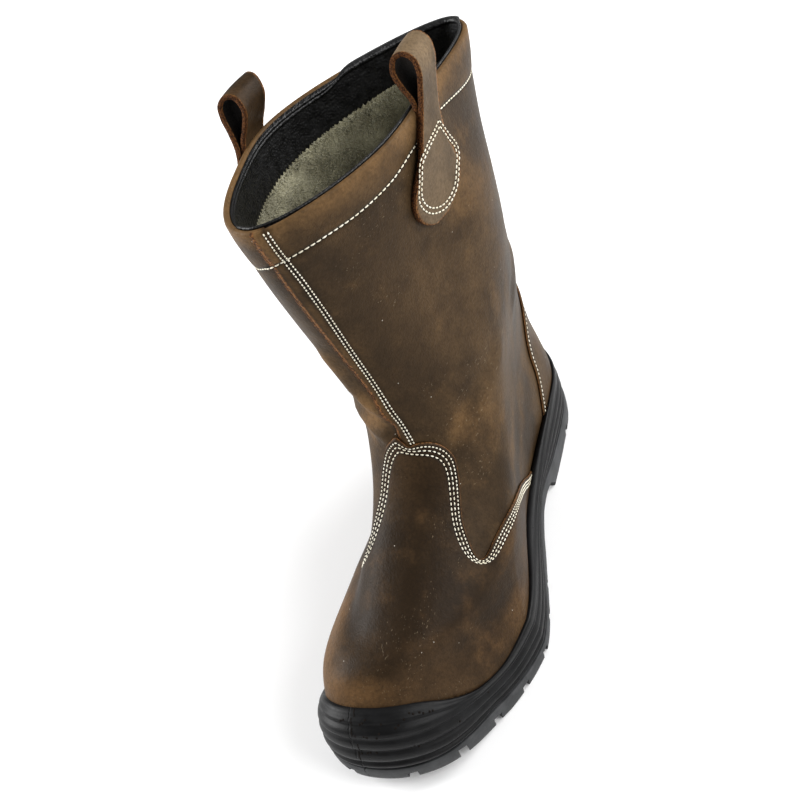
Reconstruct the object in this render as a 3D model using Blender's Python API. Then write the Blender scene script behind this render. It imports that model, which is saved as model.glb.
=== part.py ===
"""Pull-on safety boot, left foot: upper, overlays, facing, pull loops, insole, midsole and outsole."""
import bpy
import bmesh
import numpy as np

# Sizes are millimetres with x from the back of the heel to the toe, y to the outer side, z from the floor.
MM = 0.001
WALL = 2.2
GAP = 0.3
OVERLAY = 1.5
LAP_STEP = 1.2
LAP_FADE = 0.07
LAP_START = 0.52
LAP_FULL = 0.60

# Rings of the upper from its lower edge inside the sole cup to the collar.
# back and front are the ring's ends on the boot's middle line, the halves are half widths at three stations,
# the rounds are the lengths over which the two ends close and power how full they are, sag lowers the ball and
# tilt lifts the outer side.
RING_COLUMNS = ("back_x", "back_z", "front_x", "front_z", "back_y", "waist_y", "ball_y", "front_y",
                "heel_half", "waist_half", "ball_half", "back_round", "front_round", "sag", "tilt", "power")
RINGS = (
    (5.6, 33, 289, 25, 0, 0, -0.5, -13, 30.8, 29.3, 43.5, 38, 86, -9, 0, 2.3),
    (2.3, 43.8, 291, 40, -3, -1.2, -2, -18, 33.2, 33.1, 47.2, 40, 92, -13, 0, 2.3),
    (1.1, 57.6, 276.5, 61.2, -6, -1.4, -3.3, -21.5, 33.6, 35.7, 46.7, 41, 95, -12, 0, 2.3),
    (1.6, 73.6, 267, 69.9, -5, -0.5, 0.3, -16, 30.4, 35.9, 43.3, 42, 94, -9, 0, 2.3),
    (4.1, 90.7, 254, 75, -2, 0.8, 5, -8.5, 28.4, 34.6, 38.9, 44, 88, -7, 0.2, 2.3),
    (5.7, 108.8, 233, 84.8, 1.2, 1.5, 6, -6.9, 28.4, 34.4, 36.4, 48, 82, -5, 0.7, 2.2),
    (6.7, 127, 210, 97, 5.5, 1.8, 5.8, -5.5, 29.6, 34.6, 34.6, 54, 76, -3, 1, 2.15),
    (7.2, 147.4, 188.5, 112.8, 7.3, 1.7, 3.1, -2.3, 33, 37.1, 37.1, 62, 74, 0, 1.1, 2.05),
    (6.7, 170, 174.5, 134.3, 7.9, 1.5, -1, -0.6, 36.5, 40, 40, 70, 76, 0, 1.4, 1.95),
    (5.5, 193, 170.2, 167.4, 8.5, 1.7, -7.5, -6.7, 40.5, 43, 43, 78, 80, 0, 1.9, 1.85),
    (3, 218.5, 173.4, 209, 10.7, -0.2, -13.4, -14.5, 43.5, 45.8, 46, 85, 85, 0, 2.5, 1.8),
    (-1, 244.5, 179.6, 249.2, 16.6, -5.2, -15, -19, 44.1, 45.9, 46.4, 90, 90, 0, 3.6, 1.8),
    (-4, 271, 185, 289.6, 22.6, -9.7, -14.3, -21.8, 43, 44.5, 45.3, 94, 94, 0, 3.9, 1.8),
)
WIDTH_STATIONS = (0.15, 0.45, 0.72)
CENTRE_STATIONS = (0.0, 0.42, 0.72, 1.0)
SAG_PEAK = 0.1055

# The sole along the boot: lip of the cup, seat between midsole and outsole, tread, and extra spread of the wall.
SOLE_COLUMNS = ("x", "lip", "seat", "tread", "flare")
SOLE = (
    (1, 43.6, 15.2, 3.2, -0.6),
    (12, 40.2, 15.4, 0, -0.6),
    (40, 38.7, 13.5, 0, -0.6),
    (75, 35.5, 15.2, 0, -0.8),
    (112, 30.7, 19.3, 0, -1.6),
    (150, 28.5, 10.7, 0, -0.6),
    (205, 32.5, 8.5, 0, 1.5),
    (240, 31.2, 11.3, 0, 0.8),
    (254, 33, 12.6, 2, 0.5),
    (266, 39.5, 13.5, 5, 0.3),
    (276, 48.5, 14.6, 8, 0.1),
    (287, 57, 17.8, 11.4, 0),
)

# The midsole's side wall from its foot to its shoulder, rib by rib: share of its height, and how far it stands
# out of the upper along the sides and at the toe.
SIDE_COLUMNS = ("share", "side_out", "toe_out")
SIDE_WALL = (
    (0.00, 3.8, 9.6),
    (0.05, 5.0, 11.3),
    (0.20, 5.4, 11.9),
    (0.25, 4.6, 10.4),
    (0.30, 5.4, 11.5),
    (0.44, 5.3, 10.8),
    (0.49, 4.4, 9.3),
    (0.54, 5.2, 10.2),
    (0.68, 5.0, 9.0),
    (0.73, 4.0, 7.3),
    (0.78, 4.8, 7.8),
)
# The lip over the shoulder: its width round the upper, and the share of height and fullness of the round below it.
LIP_WIDTH = 2.8
LIP_ROUND = 0.93
LIP_FULL = 0.4
WALL_RING = 0.12
TOE_BLEND = (0.86, 0.985)
FLARE_FADE = 0.7
RECESS_STEPS = 5
CUP_GAP = 0.5

# The outsole's edge from its seat to its tread, with the same columns.
EDGE_WALL = (
    (0.00, 5.2, 11.0),
    (0.25, 5.8, 11.6),
    (0.80, 5.4, 11.0),
    (1.00, 4.0, 9.0),
)
# Side view of the waist's arch behind the heel's breast.
ARCH = ((86, -6), (88, 4), (94, 11), (104, 13.5), (118, 13.5), (134, 8), (148, 2), (158, -6))
# Edge lugs: notches round the tread, as positions round the outline (0 at the toe, 0.5 at the heel).
LUG_PLACES = (0.020, 0.055, 0.088, 0.121, 0.154, 0.187, 0.220, 0.405, 0.438, 0.474)
LUG_WIDTH = 5.0
LUG_REACH = 24.0
LUG_DEPTH = 5.0
LUG_SKEW = 0.20

# Side views of the overlays' edges, from the sole up to the top: the vamp's on the outer and the inner side.
VAMP_COLUMNS = ("z", "outer_x", "inner_x")
VAMP_EDGE = (
    (10, 103, 103),
    (33, 104, 104),
    (38, 113, 113),
    (53, 130, 130),
    (66.5, 148, 149),
    (75.5, 162, 164),
    (79.8, 173.5, 178),
    (79, 187, 193),
    (79, 196, 202),
    (80.3, 201, 207),
    (83.1, 202.3, 209),
    (88.8, 199, 206),
    (95.5, 192.4, 200),
    (104.2, 183, 191),
    (114.4, 174, 182),
    (121, 170, 176.6),
    (127, 168.9, 174),
    (132, 170.1, 172.8),
    (135, 173, 173.5),
    (136, 200, 200),
)
VAMP_FRONT = VAMP_EDGE[-1][1]
VAMP_MIDDLE = -2.5
SPAN = 110.0
CUTTER_REACH = 12.0
COUNTER_EDGE = ((64, 10), (63, 36), (60, 45), (53, 58.5), (44, 75), (32, 92), (18, 103), (-20, 108))
FACING_DEPTH = 28.0
FACING = 1.2
INSOLE = 4.0
INSOLE_PLAY = 1.6

# The pull loops along their folded strap, from the tab's foot up over the loop to the inner leg's end:
# height over the collar, distance out of the shaft, half width and how far the strap leans forward there.
LOOP_COLUMNS = ("height", "out", "half", "lean")
LOOP = (
    (-54, 1.4, 5.0, 27.0),
    (-52, 1.4, 9.5, 26.2),
    (-47.5, 1.5, 16.3, 23.6),
    (-39.5, 1.6, 21.0, 20.2),
    (-31, 2.4, 17.8, 17.8),
    (-25, 3.3, 13.8, 15.8),
    (-18.5, 3.9, 10.8, 13.0),
    (-9, 3.9, 10.8, 7.0),
    (-1, 4.3, 10.8, 1.0),
    (8, 6.4, 10.8, -3.5),
    (16, 8.6, 10.8, -6.5),
    (22, 8.0, 10.8, -8.5),
    (25.5, 4.0, 10.8, -9.8),
    (25, -1.0, 10.8, -9.6),
    (19, -4.4, 10.8, -7.4),
    (10, -2.2, 10.8, -4.0),
    (3, 1.0, 10.8, -1.2),
    (-3, 1.6, 10.8, 2.2),
    (-16, 1.6, 10.8, 11.5),
)
STRAP = 1.8
LOOP_LATERAL = 0.262
LOOP_MEDIAL = 0.752
STRAP_STATIONS = 5
STRAP_STEPS = 28

# Mesh density.
UPPER_ROWS = 21
PAIRS = 25
DENSE = 240
STEP = 1e-3

COLOURS = {
    "outsole": ((0.06, 0.06, 0.062), 0.75),
    "midsole": ((0.012, 0.012, 0.013), 0.6),
    "upper": ((0.10, 0.055, 0.03), 0.55),
    "vamp": ((0.11, 0.06, 0.035), 0.5),
    "heel_counter": ((0.10, 0.055, 0.03), 0.55),
    "collar_facing": ((0.01, 0.01, 0.01), 0.5),
    "pull_loop_lateral": ((0.12, 0.065, 0.035), 0.6),
    "pull_loop_medial": ((0.12, 0.065, 0.035), 0.6),
    "insole": ((0.30, 0.28, 0.24), 0.9),
}


def curve(knots, values, at):
    """A smooth curve through a short list of values, level beyond its ends."""
    knots = np.asarray(knots, float)
    values = np.asarray(values, float)
    at = np.clip(np.asarray(at, float), knots[0], knots[-1])
    slopes = np.gradient(values, knots)
    cell = np.clip(np.searchsorted(knots, at, side="right") - 1, 0, len(knots) - 2)
    span = knots[cell + 1] - knots[cell]
    t = (at - knots[cell]) / span
    start = values[cell] * (1 + 2 * t) * (1 - t) ** 2 + slopes[cell] * span * t * (1 - t) ** 2
    end = values[cell + 1] * t * t * (3 - 2 * t) + slopes[cell + 1] * span * t * t * (t - 1)
    return start + end


def smooth(low, high, at):
    """Rises from 0 at low to 1 at high with level ends."""
    t = np.clip((np.asarray(at, float) - low) / (high - low), 0, 1)
    return t * t * (3 - 2 * t)


def by_name(names, rows):
    """A table's columns as arrays under their names."""
    return dict(zip(names, np.array(rows, float).T))


def ring_at(v):
    """The named sizes of the ring at height share v."""
    knots = np.linspace(0, 1, len(RINGS))
    return {name: float(curve(knots, values, v)) for name, values in by_name(RING_COLUMNS, RINGS).items()}


def ring_points(v, around):
    """Points of one ring of the upper: around is 0 at the front, 0.25 outer side, 0.5 back, 0.75 inner side."""
    ring = ring_at(v)
    around = np.mod(np.asarray(around, float), 1.0)
    length = ring["front_x"] - ring["back_x"]
    share = (1 + np.cos(np.linspace(0, np.pi, DENSE))) / 2

    def half_width(s):
        widths = (ring["heel_half"], ring["waist_half"], ring["ball_half"])
        back = np.clip(1 - s * length / ring["back_round"], 0, 1)
        front = np.clip(1 - (1 - s) * length / ring["front_round"], 0, 1)
        power = ring["power"]
        close = ((1 - back ** power) * (1 - front ** power)) ** (1 / power)
        return curve(WIDTH_STATIONS, widths, s) * close

    half = half_width(share)
    steps = np.hypot(np.diff(share * length), np.diff(half))
    walked = np.concatenate([[0], np.cumsum(steps)])
    fraction = np.where(around <= 0.5, 2 * around, 2 * (1 - around))
    s = np.interp(fraction, walked / walked[-1], share)
    side = np.where(around <= 0.5, 1.0, -1.0)
    half = half_width(s)
    centre = curve(CENTRE_STATIONS, [ring[n] for n in ("back_y", "waist_y", "ball_y", "front_y")], s)
    x = ring["back_x"] + length * s
    y = centre + side * half
    widest = max(ring["heel_half"], ring["waist_half"], ring["ball_half"])
    z = ring["back_z"] + (ring["front_z"] - ring["back_z"]) * s
    z = z + ring["sag"] * s ** 3 * (1 - s) / SAG_PEAK + ring["tilt"] * side * half / widest
    return np.stack([x, y, z], -1)


def outline(v, around):
    """Ring points for a list of v, as rows by columns by three."""
    return np.array([ring_points(value, around) for value in np.atleast_1d(v)])


def surface(v, around):
    """Points and outward normals of the upper's leather over rows v and columns around."""
    v = np.atleast_1d(np.asarray(v, float))
    around = np.asarray(around, float)
    points = outline(v, around)
    along = outline(v, around + STEP) - outline(v, around - STEP)
    up = outline(np.minimum(v + STEP, 1), around) - outline(np.maximum(v - STEP, 0), around)
    normals = np.cross(along, up)
    normals /= np.linalg.norm(normals, axis=-1, keepdims=True)
    return points, normals


def lap(v, around):
    """Height of the outer panel's lap over the inner panel beside the front seam of the shaft."""
    near = np.mod(np.asarray(around, float), 1.0)
    beside = np.where(near < 0.5, 1 - smooth(0, LAP_FADE, near), 0)
    return LAP_STEP * smooth(LAP_START, LAP_FULL, np.asarray(v, float))[:, None] * beside[None, :]


def leather(v, around, out):
    """Points at a distance out of the leather's face, with the lap of the front seam."""
    points, normals = surface(v, around)
    lift = lap(np.atleast_1d(v), around) * (1.0 if out >= 0 else 0.0)
    return points + normals * (out + lift)[..., None]


def sole_at(name, x):
    """One named column of the sole's table at x."""
    sole = by_name(SOLE_COLUMNS, SOLE)
    value = curve(sole["x"], sole[name], x)
    return np.maximum(value, 0) if name == "tread" else value


def grid_faces(rows, columns, first, closed):
    """Triangles of a grid of points, always split along the same diagonal."""
    faces = []
    for i in range(rows - 1):
        for j in range(columns if closed else columns - 1):
            k = (j + 1) % columns
            a, b = first + i * columns + j, first + i * columns + k
            c, d = first + (i + 1) * columns + k, first + (i + 1) * columns + j
            faces += [(a, b, c), (a, c, d)]
    return faces


def shell(outer, inner, closed):
    """A solid between two grids of the same size."""
    rows, columns = outer.shape[:2]
    count = rows * columns
    points = np.concatenate([outer.reshape(-1, 3), inner.reshape(-1, 3)])
    faces = grid_faces(rows, columns, 0, closed)
    faces += [(a, c, b) for a, b, c in grid_faces(rows, columns, count, closed)]
    border = [[j for j in range(columns)], [(rows - 1) * columns + j for j in range(columns)][::-1]]
    if closed:
        border = [line + line[:1] for line in border]
    else:
        border += [[i * columns + columns - 1 for i in range(rows)], [i * columns for i in range(rows)][::-1]]
    for line in border:
        for a, b in zip(line, line[1:]):
            faces += [(a, a + count, b + count), (a, b + count, b)]
    return points, faces


def ladder(first, columns, up):
    """A cap over one closed ring of an even number of points, rung by rung from front to back."""
    faces = []
    half = columns // 2
    for j in range(half):
        a, b = first + j, first + j + 1
        c, d = first + (columns - j - 1) % columns, first + (columns - j) % columns
        quad = [a, b, c, d]
        corners = [p for k, p in enumerate(quad) if p not in quad[:k]]
        faces += [(corners[0], corners[k], corners[k + 1]) for k in range(1, len(corners) - 1)]
    return faces if up else [(a, c, b) for a, b, c in faces]


def solid(name, points, faces):
    """One named closed object in millimetres, still in the table's frame."""
    mesh = bpy.data.meshes.new(name)
    mesh.from_pydata([tuple(float(c) for c in p) for p in points], [], faces)
    work = bmesh.new()
    work.from_mesh(mesh)
    bmesh.ops.recalc_face_normals(work, faces=work.faces)
    work.to_mesh(mesh)
    work.free()
    made = bpy.data.objects.new(name, mesh)
    bpy.context.scene.collection.objects.link(made)
    return made


def prism(name, profile, low, high):
    """A cutter: a side view outline drawn through the boot from y low to y high."""
    count = len(profile)
    points = [(x, low, z) for x, z in profile] + [(x, high, z) for x, z in profile]
    faces = [tuple(range(count)), tuple(range(2 * count - 1, count - 1, -1))]
    faces += [(j, j + count, (j + 1) % count + count, (j + 1) % count) for j in range(count)]
    return solid(name, points, faces)


def cut(made, cutters):
    """Cuts the object with each cutter and removes the cutters."""
    for cutter in cutters:
        step = made.modifiers.new("cut", "BOOLEAN")
        step.operation = "DIFFERENCE"
        step.solver = "EXACT"
        step.object = cutter
        cutter.hide_render = True
        cutter.display_type = "WIRE"
    bpy.context.view_layer.update()
    graph = bpy.context.evaluated_depsgraph_get()
    mesh = bpy.data.meshes.new_from_object(made.evaluated_get(graph))
    made.modifiers.clear()
    made.data = mesh
    for cutter in cutters:
        bpy.data.objects.remove(cutter)


def upper_columns():
    """Columns of the upper: even round the ring, with the front one split in two for the seam's step."""
    even = np.arange(1, 2 * PAIRS) / (2 * PAIRS)
    beside = STEP * 1.5
    return np.concatenate([[beside], even, [1 - beside]])


def upper_rows():
    """Rows of the upper, even from its lower edge to the collar."""
    return np.linspace(0, 1, UPPER_ROWS)


def build_upper():
    rows, columns = upper_rows(), upper_columns()
    points, faces = shell(leather(rows, columns, 0.0), leather(rows, columns, -WALL), True)
    solid("upper", points, faces)


def overlay(name, first_row, last_row, first_column, last_column, cutters):
    """A patch of leather on the upper's own grid, cut to its outline."""
    columns = upper_columns()
    if first_column < 0:
        columns = np.concatenate([columns[first_column:] - 1, columns[:last_column]])
    else:
        columns = columns[first_column:last_column]
    rows = upper_rows()[first_row:last_row]
    points, faces = shell(leather(rows, columns, GAP + OVERLAY), leather(rows, columns, GAP), False)
    cut(solid(name, points, faces), cutters)


def lip_cutter():
    """Everything under the cup's lip, as wide as the sole and inwards to the middle of the leather."""
    _, out, _ = sole_frame()
    rings, lip = cup_rings()
    wide = rings[-1].copy()
    wide[:, :2] += out * CUTTER_REACH
    wide[:, 2] = lip + GAP
    low = wide.copy()
    low[:, 2] = -CUTTER_REACH
    return tube("lip_cutter", [low, wide, recess_ring(lip + GAP, -WALL / 2)])


def build_vamp():
    edge = by_name(VAMP_COLUMNS, VAMP_EDGE)
    cutters = [lip_cutter()]
    for name, low, high in (("outer_x", VAMP_MIDDLE, SPAN), ("inner_x", -SPAN, VAMP_MIDDLE)):
        behind = list(zip(edge[name], edge["z"])) + [(VAMP_FRONT, SPAN * 2), (-SPAN, SPAN * 2), (-SPAN, edge["z"][0])]
        cutters.append(prism("vamp_cutter", behind, low, high))
    overlay("vamp", 1, 15, -17, 17, cutters)


def build_counter():
    ahead = list(COUNTER_EDGE) + [(COUNTER_EDGE[-1][0], SPAN * 2), (SPAN * 3, SPAN * 2), (SPAN * 3, COUNTER_EDGE[0][1])]
    overlay("heel_counter", 0, 10, 14, 36, [lip_cutter(), prism("counter_cutter", ahead, -SPAN, SPAN)])


def rim_slopes(around):
    """Lengths in millimetres of one unit along the collar and of one unit down the shaft there."""
    sides = outline(1.0, np.array([around - STEP, around + STEP]))[0]
    below = outline(np.array([1 - STEP, 1.0]), np.array([around]))[:, 0]
    return np.linalg.norm(sides[1] - sides[0]) / (2 * STEP), np.linalg.norm(below[1] - below[0]) / STEP


def build_facing():
    columns = upper_columns()
    deep = FACING_DEPTH / rim_slopes(0.25)[1]
    rows = np.linspace(1 - deep, 1.0, 4)
    outer = leather(rows, columns, -(WALL + GAP))
    inner = leather(rows, columns, -(WALL + GAP + FACING))
    points, faces = shell(outer, inner, True)
    solid("collar_facing", points, faces)


def build_loop(name, around):
    """A strap folded into a loop over the collar, both legs on the outside of the shaft."""
    table = by_name(LOOP_COLUMNS, LOOP)
    walked = np.concatenate([[0], np.cumsum(np.hypot(np.diff(table["height"]), np.diff(table["out"])))])
    at = np.linspace(0, walked[-1], STRAP_STEPS)
    height, out, half, lean = (curve(walked, table[name], at) for name in LOOP_COLUMNS)
    turn = np.stack([np.gradient(out), np.gradient(height)], -1)
    turn /= np.linalg.norm(turn, axis=1, keepdims=True)
    across, down = rim_slopes(around)
    forward = -1 if around < 0.5 else 1
    places = around + np.linspace(-1, 1, STRAP_STATIONS)[None, :] * half[:, None] / across
    places = places + forward * lean[:, None] / across
    sides = []
    for face in (0.5, -0.5):
        out_face = out + face * STRAP * turn[:, 1]
        height_face = height - face * STRAP * turn[:, 0]
        grid = np.zeros((STRAP_STEPS, STRAP_STATIONS, 3))
        for i in range(STRAP_STEPS):
            v = min(1 + height_face[i] / down, 1.0)
            points, normals = surface(v, places[i])
            rise = outline(np.array([1 - STEP, 1.0]), places[i])
            rise = rise[1] - rise[0]
            rise /= np.linalg.norm(rise, axis=-1, keepdims=True)
            grid[i] = points[0] + normals[0] * out_face[i] + rise * max(height_face[i], 0)
        sides.append(grid)
    points, faces = shell(sides[0], sides[1], False)
    solid(name, points, faces)


def sole_columns():
    """Columns of the sole, even round the outline from the toe."""
    return np.arange(2 * PAIRS) / (2 * PAIRS)


def sole_frame():
    """The plan outline that the sole's walls are measured from, its outward directions and toe shares."""
    around = sole_columns()
    plan = outline(WALL_RING, around)[0]
    along = outline(WALL_RING, around + STEP)[0] - outline(WALL_RING, around - STEP)[0]
    out = np.stack([along[:, 1], -along[:, 0]], -1)
    out /= -np.linalg.norm(out, axis=1, keepdims=True)
    centre = plan[:, :2].mean(axis=0)
    if np.sum(out * (plan[:, :2] - centre)) < 0:
        out = -out
    ring = ring_at(WALL_RING)
    share = (plan[:, 0] - ring["back_x"]) / (ring["front_x"] - ring["back_x"])
    return plan, out, smooth(TOE_BLEND[0], TOE_BLEND[1], share)


def wall_rows(table, low, high, fade):
    """Rings of a side wall between two heights, standing out of the upper by the table's distances."""
    plan, out, toe = sole_frame()
    flare = sole_at("flare", plan[:, 0])
    wall = by_name(SIDE_COLUMNS, table)
    rings = []
    for share, side_out, toe_out in zip(wall["share"], wall["side_out"], wall["toe_out"]):
        reach = side_out + flare * (1 - fade * share) + (toe_out - side_out) * toe
        place = plan[:, :2] + out * reach[:, None]
        rings.append(np.column_stack([place, low + (high - low) * share]))
    return rings


def recess_ring(height, out):
    """A ring at the given heights that follows the upper's face at a distance out of it."""
    around = sole_columns()
    points, normals = surface(np.linspace(0, 0.3, 61), around)
    face = points + normals * out
    place = [[np.interp(height[j], face[:, j, 2], face[:, j, k]) for k in range(2)] for j in range(len(around))]
    return np.column_stack([np.array(place), height])


def cup_rings():
    """Rings of the midsole's outside from its foot up to its lip, and the heights of seat and lip."""
    plan, out, _ = sole_frame()
    seat, lip = sole_at("seat", plan[:, 0]), sole_at("lip", plan[:, 0])
    rings = wall_rows(SIDE_WALL, seat, lip, FLARE_FADE)
    rim = recess_ring(lip, GAP)
    rim[:, :2] += out * LIP_WIDTH
    turn = rings[-1] + (rim - rings[-1]) / 2
    turn[:, :2] += out * LIP_FULL
    turn[:, 2] = seat + (lip - seat) * LIP_ROUND
    return rings + [turn, rim], lip


def tube(name, rings):
    """A closed solid of stacked rings with a cap at each end."""
    columns = len(rings[0])
    points = np.concatenate(rings)
    faces = grid_faces(len(rings), columns, 0, True)
    faces += ladder(0, columns, False)
    faces += ladder((len(rings) - 1) * columns, columns, True)
    return solid(name, points, faces)


def build_midsole():
    rings, lip = cup_rings()
    floor = outline(0.0, sole_columns())[0][:, 2] - GAP
    rings += [recess_ring(lip + (floor - lip) * step / RECESS_STEPS, CUP_GAP) for step in range(RECESS_STEPS + 1)]
    tube("midsole", rings)


def build_outsole():
    around = sole_columns()
    plan, out, _ = sole_frame()
    rings = wall_rows(EDGE_WALL, sole_at("seat", plan[:, 0]) - GAP, sole_at("tread", plan[:, 0]), 0)
    made = tube("outsole", rings)
    cutters = [prism("arch_cutter", ARCH, -SPAN, SPAN)]
    for place in LUG_PLACES + tuple(1 - p for p in LUG_PLACES):
        x, y = (np.interp(place, around, rings[-2][:, k]) for k in range(2))
        ahead = np.array([np.interp(place, around, out[:, k]) for k in range(2)])
        ahead = ahead + np.array([LUG_SKEW, 0.0])
        ahead /= np.linalg.norm(ahead)
        beside = np.array([-ahead[1], ahead[0]]) * LUG_WIDTH / 2
        far, near = np.array([x, y]) + ahead * 8, np.array([x, y]) - ahead * LUG_REACH
        corners = [far - beside, far + beside, near + beside, near - beside]
        points = [(*c, -10.0) for c in corners]
        points += [(*c, float(sole_at("tread", c[0])) + LUG_DEPTH) for c in corners]
        faces = [(0, 1, 2, 3), (7, 6, 5, 4)] + [(k, k + 4, (k + 1) % 4 + 4, (k + 1) % 4) for k in range(4)]
        cutters.append(solid("lug_cutter", points, faces))
    cut(made, cutters)


def build_insole():
    _, out, _ = sole_frame()
    edge = outline(0.0, sole_columns())[0]
    floor = edge[PAIRS::-1]
    low = edge.copy()
    low[:, :2] -= out * (WALL + INSOLE_PLAY)
    low[:, 2] = np.interp(low[:, 0], floor[:, 0], floor[:, 2]) + GAP
    tube("insole", [low, low + np.array([0, 0, INSOLE])])


def paint(made, name):
    """Gives the object its own plain material."""
    colour, rough = COLOURS[name]
    look = bpy.data.materials.new(name)
    look.use_nodes = True
    shader = look.node_tree.nodes["Principled BSDF"]
    shader.inputs["Base Color"].default_value = (*colour, 1.0)
    shader.inputs["Roughness"].default_value = rough
    made.data.materials.clear()
    made.data.materials.append(look)


def settle():
    """Puts the middle of the boot's footprint over the origin, the floor at zero, and turns to metres."""
    pieces = [bpy.data.objects[name] for name in COLOURS]
    points = np.array([corner.co[:] for piece in pieces for corner in piece.data.vertices])
    low, high = points.min(axis=0), points.max(axis=0)
    shift = np.array([(low[0] + high[0]) / 2, (low[1] + high[1]) / 2, low[2]])
    for piece in pieces:
        for corner in piece.data.vertices:
            corner.co = [float(c) for c in (np.array(corner.co[:]) - shift) * MM]
        paint(piece, piece.name)
    print("shift_mm", shift.round(4).tolist(), "size_mm", (high - low).round(3).tolist())


def main():
    for old in list(bpy.data.objects):
        bpy.data.objects.remove(old)
    build_upper()
    build_vamp()
    build_counter()
    build_facing()
    build_loop("pull_loop_lateral", LOOP_LATERAL)
    build_loop("pull_loop_medial", LOOP_MEDIAL)
    build_insole()
    build_midsole()
    build_outsole()
    settle()


main()
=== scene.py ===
# %% [markdown]
# A pull-on work boot for the left foot. The CAD frame gives the size and the place of every piece, and
# this lesson dresses it: oiled leather, threads, a black facing, a fleece lining and a moulded sole.
# Every new piece rides on the one body of the frame, and the nine main ones stand for the CAD nodes that
# they hide.

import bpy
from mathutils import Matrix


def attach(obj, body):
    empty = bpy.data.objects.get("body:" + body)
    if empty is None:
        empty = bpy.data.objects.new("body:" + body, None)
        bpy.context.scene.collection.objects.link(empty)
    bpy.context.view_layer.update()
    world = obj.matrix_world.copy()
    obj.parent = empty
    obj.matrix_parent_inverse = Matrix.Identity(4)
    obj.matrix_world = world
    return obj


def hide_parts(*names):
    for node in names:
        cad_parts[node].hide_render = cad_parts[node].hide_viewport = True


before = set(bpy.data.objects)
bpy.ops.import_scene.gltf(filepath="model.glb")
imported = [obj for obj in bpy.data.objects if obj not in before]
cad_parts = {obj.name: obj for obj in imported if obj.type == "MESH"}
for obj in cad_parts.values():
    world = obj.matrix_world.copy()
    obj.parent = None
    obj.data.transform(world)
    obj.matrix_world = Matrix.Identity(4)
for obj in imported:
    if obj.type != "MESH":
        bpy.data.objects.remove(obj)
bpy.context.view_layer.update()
print("CAD nodes:", sorted(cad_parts))

# %% [markdown]
# The photograph looks down on the toe from the outer side, with the camera rolled to the right. A long
# lens keeps the shaft from tapering too much. The camera comes first.

# %% Camera
import math

import bpy
import numpy as np
from mathutils import Vector, noise

EYE = (0.492695, 0.285761, 0.647130)
EYE_TURN = (45.9257, 17.0503, 104.2071)
LENS = 65.25
SENSOR = 36.0
FARTHEST = 20.0

bpy.ops.object.select_all(action="DESELECT")
bpy.ops.object.camera_add(location=EYE, rotation=[math.radians(angle) for angle in EYE_TURN])
camera = bpy.context.object
camera.name = "photo_camera"
camera.data.lens = LENS
camera.data.sensor_width = SENSOR
camera.data.clip_end = FARTHEST
bpy.context.scene.camera = camera
print("camera at", EYE, "with a lens of", LENS, "mm")

# %% [markdown]
# The upper is drawn like a last maker's pattern: thirteen rings from the feather edge in the sole to the
# collar. A ring has a back and a front end, three half widths and rounded ends. The CAD solid comes from
# the same rings, so a piece that is drawn on them lies on it. A point of the leather has two shares: v
# from the feather edge up to the collar, and around from the front over the outer side and the back to
# the inner side.

# %% Rings of the upper
MM = 0.001
FOOT_MIDDLE = np.array([146.6991, -7.9392, 0.0])
RING_COLUMNS = ("back_x", "back_z", "front_x", "front_z", "back_y", "waist_y", "ball_y", "front_y",
                "heel_half", "waist_half", "ball_half", "back_round", "front_round", "sag", "tilt", "power")
RINGS = (
    (5.6, 33, 289, 25, 0, 0, -0.5, -13, 30.8, 29.3, 43.5, 38, 86, -9, 0, 2.3),
    (2.3, 43.8, 291, 40, -3, -1.2, -2, -18, 33.2, 33.1, 47.2, 40, 92, -13, 0, 2.3),
    (1.1, 57.6, 276.5, 61.2, -6, -1.4, -3.3, -21.5, 33.6, 35.7, 46.7, 41, 95, -12, 0, 2.3),
    (1.6, 73.6, 267, 69.9, -5, -0.5, 0.3, -16, 30.4, 35.9, 43.3, 42, 94, -9, 0, 2.3),
    (4.1, 90.7, 254, 75, -2, 0.8, 5, -8.5, 28.4, 34.6, 38.9, 44, 88, -7, 0.2, 2.3),
    (5.7, 108.8, 233, 84.8, 1.2, 1.5, 6, -6.9, 28.4, 34.4, 36.4, 48, 82, -5, 0.7, 2.2),
    (6.7, 127, 210, 97, 5.5, 1.8, 5.8, -5.5, 29.6, 34.6, 34.6, 54, 76, -3, 1, 2.15),
    (7.2, 147.4, 188.5, 112.8, 7.3, 1.7, 3.1, -2.3, 33, 37.1, 37.1, 62, 74, 0, 1.1, 2.05),
    (6.7, 170, 174.5, 134.3, 7.9, 1.5, -1, -0.6, 36.5, 40, 40, 70, 76, 0, 1.4, 1.95),
    (5.5, 193, 170.2, 167.4, 8.5, 1.7, -7.5, -6.7, 40.5, 43, 43, 78, 80, 0, 1.9, 1.85),
    (3, 218.5, 173.4, 209, 10.7, -0.2, -13.4, -14.5, 43.5, 45.8, 46, 85, 85, 0, 2.5, 1.8),
    (-1, 244.5, 179.6, 249.2, 16.6, -5.2, -15, -19, 44.1, 45.9, 46.4, 90, 90, 0, 3.6, 1.8),
    (-4, 271, 185, 289.6, 22.6, -9.7, -14.3, -21.8, 43, 44.5, 45.3, 94, 94, 0, 3.9, 1.8),
)
WIDTH_STATIONS = (0.15, 0.45, 0.72)
CENTRE_STATIONS = (0.0, 0.42, 0.72, 1.0)
SAG_PEAK = 0.1055
DENSE = 240


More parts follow.
